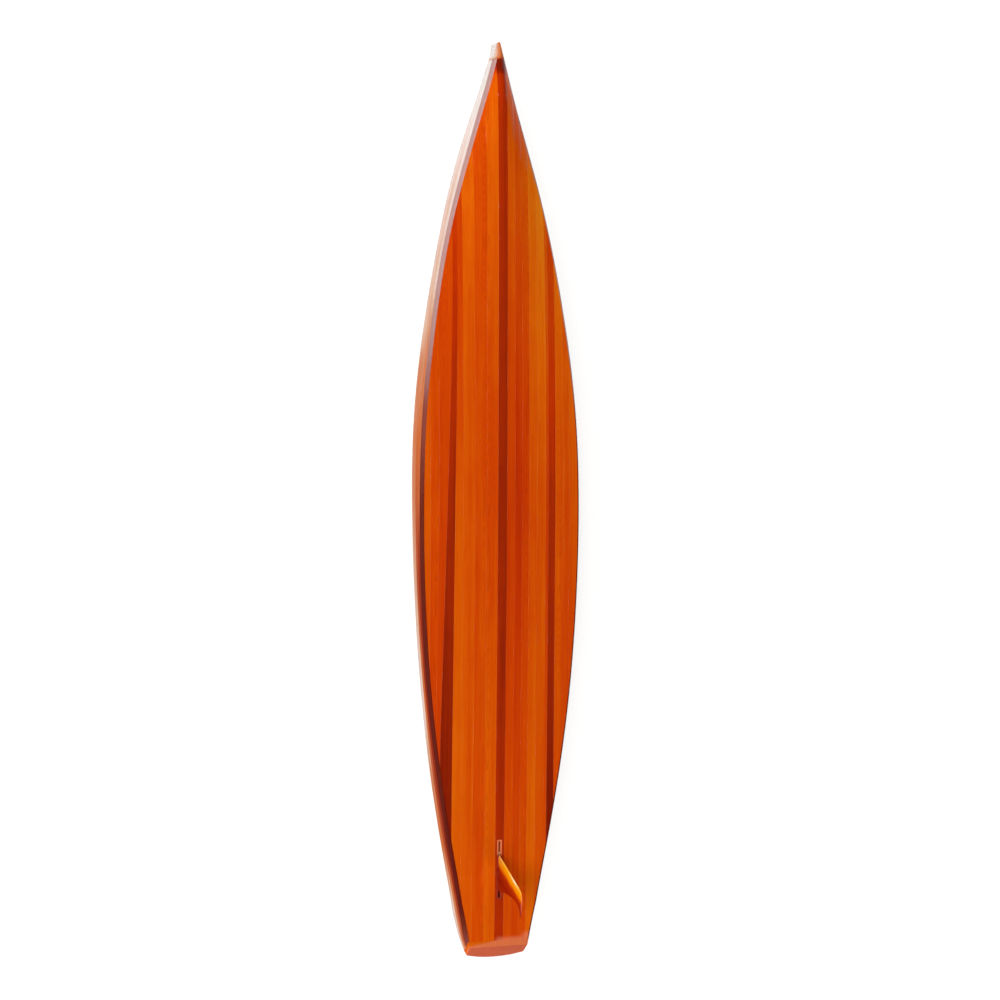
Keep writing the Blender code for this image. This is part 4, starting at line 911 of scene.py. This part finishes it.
def make_nose_end():
    """The nose block, paler down its sides and darker at its joint with the planking."""
    ys = NOSE_Y + NOSE_BLOCK_LENGTH * np.linspace(0.0, 1.0, NOSE_SECTIONS) ** NOSE_CROWDING
    rings = full_rings(ys)
    beside = np.clip((keel_z(ys)[:, None] - rings[..., 2]) / NOSE_SIDE_DROP, 0.0, 1.0)
    joint = np.exp(-(ys - NOSE_Y) / NOSE_JOINT_REACH)[:, None]
    tone = NOSE_TONE + NOSE_SIDE_PALER * beside - NOSE_JOINT_DARKER * joint
    mesh = solid_mesh("nose_end", place(rings), {"tone": tone, "seed": NOSE_SEED, "across": rings[..., 0]})
    add_piece("nose_end", mesh, NOSE_WOOD, ["nose_block"])


# ---------------------------------------------------------------- Fin, in its own frame on the bottom

FIN_FRONT = 0.068
FIN_BASE_LIFT = 0.0008
FIN_LEVELS = (
    (0.0, 0.0, 0.172), (0.032, 0.020, 0.169), (0.070, 0.041, 0.170), (0.110, 0.064, 0.174),
    (0.150, 0.088, 0.182), (0.185, 0.107, 0.195), (0.210, 0.121, 0.213), (0.224, 0.130, 0.236),
    (0.231, 0.135, 0.263), (0.240, 0.145, 0.241), (0.246, 0.156, 0.215), (0.2495, 0.172, 0.193),
)
FIN_ROOT_THICKNESS, FIN_TIP_THICKNESS = 0.0105, 0.0045
FIN_RAKE_BACK, FIN_RAKE_UP = 0.135, 0.231
FIN_TAPER_POWER, FIN_TIP_START, FIN_TIP_SHARE = 1.5, 0.235, 0.55
# The blade's sections: from its base to the first height, then from the second to its tip
FIN_LOWER_TOP, FIN_UPPER_FOOT, FIN_LOWER_SECTIONS, FIN_UPPER_SECTIONS = 0.205, 0.209, 30, 24
FOIL_POINTS = 26
FOIL_SHARES = (0.0, 0.006, 0.02, 0.05, 0.10, 0.18, 0.28, 0.36, 0.50, 0.65, 0.80, 0.92, 1.0)
FOIL_HALVES = (0.0, 0.21, 0.37, 0.56, 0.74, 0.90, 0.985, 1.0, 0.92, 0.74, 0.48, 0.24, 0.09)
TAB_THICKNESS, TAB_DEPTH, TAB_TOP, TAB_FRONT, TAB_REAR = 0.0092, 0.022, 0.006, 0.008, 0.166
TONGUE_REACH, TONGUE_TOP, TONGUE_BOTTOM, TONGUE_ROOT, TONGUE_INSET = 0.014, 0.0045, 0.0075, 0.004, 0.0002
PIN_RADIUS, PIN_BACK, PIN_DOWN = 0.0020, 0.160, 0.0105
SCREW_RADIUS, SCREW_BACK, SCREW_CLEARANCE = 0.0019, 0.007, 0.0005
HOLE_REACH = 0.02


def fin_axes():
    """The matrix of the fin's frame: x along the bottom to the nose, z out of it."""
    step = BOX_LENGTH / 2
    rise = float(bottom_z(0, FIN_BOX_Y + step) - bottom_z(0, FIN_BOX_Y - step))
    slope = math.atan2(rise, 2 * step)
    height = float(bottom_z(0, FIN_BOX_Y + step) + bottom_z(0, FIN_BOX_Y - step)) / 2
    forward = Vector((0, math.cos(slope), math.sin(slope)))
    up = Vector((0, -math.sin(slope), math.cos(slope)))
    axes = Matrix((forward, -forward.cross(up), up)).transposed().to_4x4()
    return Matrix.Translation((0, FIN_BOX_Y, height)) @ axes


def steady(points, at):
    """A cubic through the points that never overshoots them."""
    x, y = np.array(points).T
    h, slope = np.diff(x), np.diff(y) / np.diff(x)
    rate = np.zeros(len(x))
    rate[1:-1] = np.where(
        slope[:-1] * slope[1:] > 0, 2 * slope[:-1] * slope[1:] / (slope[:-1] + slope[1:] + 1e-12), 0.0
    )
    rate[0], rate[-1] = slope[0], slope[-1]
    i = np.clip(np.searchsorted(x, at) - 1, 0, len(x) - 2)
    t = (at - x[i]) / h[i]
    return (
        (1 + 2 * t) * (1 - t) ** 2 * y[i] + t * (1 - t) ** 2 * h[i] * rate[i]
        + t * t * (3 - 2 * t) * y[i + 1] + t * t * (t - 1) * h[i] * rate[i + 1]
    )


def box_object(name, low, high, matrix):
    outline = ((low[0], low[1]), (high[0], low[1]), (high[0], high[1]), (low[0], high[1]))
    corners = [(x, y, z) for z in (low[2], high[2]) for x, y in outline]
    faces = [(3, 2, 1, 0), (4, 5, 6, 7), (0, 1, 5, 4), (1, 2, 6, 5), (2, 3, 7, 6), (3, 0, 4, 7)]
    mesh = bpy.data.meshes.new(name)
    mesh.from_pydata([matrix @ Vector(corner) for corner in corners], [], faces)
    return bpy.data.objects.new(name, mesh)


def prism_object(name, points):
    """A closed solid between two outlines of equally many points, given one after the other."""
    count = len(points) // 2
    faces = [(i, (i + 1) % count, count + (i + 1) % count, count + i) for i in range(count)]
    faces += [tuple(range(count))[::-1], tuple(range(count, 2 * count))]
    mesh = bpy.data.meshes.new(name)
    mesh.from_pydata(points, [], faces)
    return bpy.data.objects.new(name, mesh)


def rod_object(name, radius, start, end, matrix, steps=24):
    turn = (Vector(end) - Vector(start)).normalized().to_track_quat("Z", "Y")
    angles = [2 * math.pi * step / steps for step in range(steps)]
    outline = [turn @ Vector((radius * math.cos(angle), radius * math.sin(angle), 0)) for angle in angles]
    return prism_object(name, [matrix @ (Vector(at) + point) for at in (start, end) for point in outline])


def combined(obj, tools):
    """The object's mesh after its Boolean tools, which are removed with it."""
    SCENE.collection.objects.link(obj)
    for tool, operation in tools:
        SCENE.collection.objects.link(tool)
        modifier = obj.modifiers.new(tool.name, "BOOLEAN")
        modifier.operation, modifier.object, modifier.solver = operation, tool, "EXACT"
    evaluated = obj.evaluated_get(bpy.context.evaluated_depsgraph_get())
    mesh = bpy.data.meshes.new_from_object(evaluated)
    for done in (obj, *[tool for tool, _ in tools]):
        bpy.data.objects.remove(done)
    mesh.materials.clear()
    return mesh


def fin_blade(axes):
    """The foil of the fin, from its base on the bottom to its tip."""
    top = FIN_LEVELS[-1][0]
    lower = np.linspace(FIN_BASE_LIFT, FIN_LOWER_TOP, FIN_LOWER_SECTIONS)
    heights = np.concatenate([lower, np.linspace(FIN_UPPER_FOOT, top, FIN_UPPER_SECTIONS)])
    leading = steady([(height, edge) for height, edge, _ in FIN_LEVELS], heights)
    trailing = steady([(height, edge) for height, _, edge in FIN_LEVELS], heights)
    taper = (heights / top) ** FIN_TAPER_POWER
    thick = FIN_ROOT_THICKNESS + (FIN_TIP_THICKNESS - FIN_ROOT_THICKNESS) * taper
    thick *= np.interp(heights, (FIN_TIP_START, top), (1.0, FIN_TIP_SHARE))
    parts = (1 - np.cos(np.linspace(0, math.pi, FOIL_POINTS))) / 2
    rings = []
    for part, side in [(part, 1) for part in parts] + [(part, -1) for part in parts[-1:0:-1]]:
        x = FIN_FRONT - leading - (trailing - leading) * part
        y = side * thick / 2 * np.interp(part, FOIL_SHARES, FOIL_HALVES)
        rings.append(np.stack([x, y, heights], axis=-1))
    rings = np.stack(rings, axis=1)
    return solid_mesh("blade", rings @ np.array(axes.to_3x3()).T + np.array(axes.translation), {})


def fin_tools(axes):
    """The fin's base in the box's slot, and its two holes."""
    half = TAB_THICKNESS / 2
    front, rear, tip = FIN_FRONT - TAB_FRONT, FIN_FRONT - TAB_REAR, FIN_FRONT + TONGUE_REACH
    tab = box_object("tab", (rear, -half, -TAB_DEPTH), (front, half, TAB_TOP), axes)
    low = (front - TONGUE_ROOT, -half + TONGUE_INSET, -TONGUE_BOTTOM)
    tongue = box_object("tongue", low, (tip, half - TONGUE_INSET, -TONGUE_TOP), axes)
    pin_x, screw_x = FIN_FRONT - PIN_BACK, tip - SCREW_BACK
    start, end = (pin_x, -HOLE_REACH, -PIN_DOWN), (pin_x, HOLE_REACH, -PIN_DOWN)
    pin_hole = rod_object("pin_hole", PIN_RADIUS + GAP, start, end, axes)
    radius = SCREW_RADIUS + SCREW_CLEARANCE
    screw_hole = rod_object("screw_hole", radius, (screw_x, 0, -HOLE_REACH), (screw_x, 0, 0), axes)
    return [(tab, "UNION"), (tongue, "UNION"), (pin_hole, "DIFFERENCE"), (screw_hole, "DIFFERENCE")]


# Painted pinkish highlights at the fin's root and tip, and a painted cream highlight high on its leading edge
ROOT_HIGHLIGHT, ROOT_HEIGHT, ROOT_REACH = 0.8, 0.055, 0.030
TIP_HIGHLIGHT, TIP_FOOT, TIP_FADE = 0.5, 0.240, 0.006
CREAM_HEIGHT, CREAM_SPREAD, CREAM_REACH = 0.165, 0.030, 0.012


def paint_fin(mesh, axes):
    """Writes the fin's tone by its distance from the leading edge, and where its painted highlights lie."""
    points = np.empty(3 * len(mesh.vertices))
    mesh.vertices.foreach_get("co", points)
    local = (points.reshape(-1, 3) - np.array(axes.translation)) @ np.array(axes.to_3x3())
    lean = math.atan2(FIN_RAKE_BACK, FIN_RAKE_UP)
    height = local[:, 2]
    from_edge = (FIN_FRONT - local[:, 0]) * math.cos(lean) - height * math.sin(lean)
    root = np.clip(1 - height / ROOT_HEIGHT, 0.0, 1.0) * np.clip(1 - from_edge / ROOT_REACH, 0.0, 1.0)
    tip = np.clip((height - TIP_FOOT) / TIP_FADE, 0.0, 1.0)
    band = np.exp(-(((height - CREAM_HEIGHT) / CREAM_SPREAD) ** 2))
    fields = {
        "tone": np.clip(from_edge, 0.0, FIN_TONE_REACH) / FIN_TONE_REACH, "across": from_edge,
        "painted_reflection": np.clip(ROOT_HIGHLIGHT * root + TIP_HIGHLIGHT * tip, 0.0, 1.0),
        "cream_highlight": band * np.clip(1 - from_edge / CREAM_REACH, 0.0, 1.0), "seed": np.full(len(local), 0.5),
    }
    for field, values in fields.items():
        mesh.attributes.new(field, "FLOAT", "POINT").data.foreach_set("value", values)


def make_fin():
    axes = fin_axes()
    mesh = combined(bpy.data.objects.new("fin_work", fin_blade(axes)), fin_tools(axes))
    mesh.set_sharp_from_angle(angle=SHARP_ANGLE)
    paint_fin(mesh, axes)
    add_piece("fin_blade", mesh, FIN_WOOD, ["fin"], body="fin")


CUT_LOW, CUT_HIGH = -0.02, 0.05


def pocket_tool(half_x, half_y, corner, center_y, steps=8):
    """A tool with rounded corners that cuts through the deck."""
    outline = []
    for turn, (sx, sy) in enumerate(((1, 1), (-1, 1), (-1, -1), (1, -1))):
        for step in range(steps + 1):
            angle = math.pi / 2 * (turn + step / steps)
            x = sx * (half_x - corner) + corner * math.cos(angle)
            outline.append((x, center_y + sy * (half_y - corner) + corner * math.sin(angle)))
    return prism_object("pocket", [(x, y, z) for z in (CUT_LOW, CUT_HIGH) for x, y in outline])


def cut(piece, tool):
    """Cuts a piece in place, keeping its body, slot and the nodes it stands for."""
    material = piece.data.materials[0]
    copy = bpy.data.objects.new("work", piece.data)
    mesh = combined(copy, [(tool, "DIFFERENCE")])
    mesh.materials.append(material)
    mesh.set_sharp_from_angle(angle=SHARP_ANGLE)
    piece.data = mesh


# ---------------------------------------------------------------- Build

CLEAR = 0.0006
HANDLE_Y, HANDLE_LENGTH, HANDLE_WIDTH, HANDLE_CORNER = -0.235, 0.150, 0.080, 0.018
LEASH_Y, LEASH_FLANGE_LENGTH = -1.905, 0.050
VENT_Y, VENT_RADIUS = -0.100, 0.0175
BOX_REAR_Y, BOX_FRONT_Y = FIN_BOX_Y - BOX_LENGTH / 2 - CLEAR, FIN_BOX_Y + BOX_LENGTH / 2 + CLEAR
BOX_SIDE_X = BOX_WIDTH / 2 + CLEAR


def deck_section(y, depth):
    """The station whose centreline point, this deep in the deck's planking, is placed at y."""
    station = y
    for _ in range(20):
        point = np.array((0.0, station, float(deck_z(0, station)) + depth))
        station += y - place(point)[1]
    return station


make_camera()
make_lights()
make_world()
make_floor()

for side, word, rows in ((-1, "left", BOTTOM_LEFT), (1, "right", BOTTOM_RIGHT)):
    make_side_strips("bottom", rows, side, word, bottom_z, bottom_limit)
    deck = make_side_strips("deck", DECK_SIDE, side, word, deck_z, lip_x)
    sizes = (HANDLE_WIDTH / 2, HANDLE_LENGTH / 2, HANDLE_CORNER)
    cut(deck[0], pocket_tool(*[size + CLEAR for size in sizes], HANDLE_Y))
    make_rail(side, word)
    make_chine(side, word)

make_centre("bottom", "front", bottom_z, BOX_FRONT_Y, HULL_NOSE_Y)
make_centre("bottom", "rear", bottom_z, HULL_TAIL_Y, BOX_REAR_Y)
for side, word in ((-1, "left"), (1, "right")):
    inner, outer = sorted((side * BOX_SIDE_X, side * CENTRE_STRIP_HALF))
    ends = (BOX_REAR_Y, BOX_FRONT_Y)
    make_centre("bottom", f"beside_box_{word}", bottom_z, *ends, inner, outer, "bottom_centre_strip_rear")

leash_reach = LEASH_FLANGE_LENGTH / 2 + CLEAR
handle_reach = HANDLE_LENGTH / 2 + CLEAR
make_centre("deck", "tail", deck_z, HULL_TAIL_Y, deck_section(LEASH_Y - leash_reach, SKIN))
make_centre("deck", "rear", deck_z, deck_section(LEASH_Y + leash_reach, 0.0), HANDLE_Y - handle_reach)
vent_strip = make_centre("deck", "front", deck_z, HANDLE_Y + handle_reach, HULL_NOSE_Y)
low, high = (0, VENT_Y, CUT_LOW), (0, VENT_Y, CUT_HIGH)
cut(vent_strip, rod_object("vent", VENT_RADIUS + CLEAR, low, high, Matrix.Identity(4), 48))
make_tail_end()
make_nose_end()
make_fin()

# The CAD's own meshes that are kept as they are, with their materials
CARRIED = {
    "fin_box": BOX_PLASTIC, "handle_cup": BLACK_PLASTIC, "leash_cup": BLACK_PLASTIC, "leash_bar": STEEL,
    "fin_roll_pin": STEEL, "fin_screw": STEEL, "fin_nut_plate": BRASS, "vent_insert": BRASS,
    "vent_plug": BRASS, "vent_seal": RUBBER,
}
for name in NODES:
    if name.startswith(("rib_", "centre_spar", "fin_block", "handle_block", "leash_block", "vent_block")):
        CARRIED[name] = PLYWOOD
for name, material in CARRIED.items():
    for surface in NODES[name].material_slots:
        surface.material = material

SCENE.view_settings.view_transform = "Standard"

low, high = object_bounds()
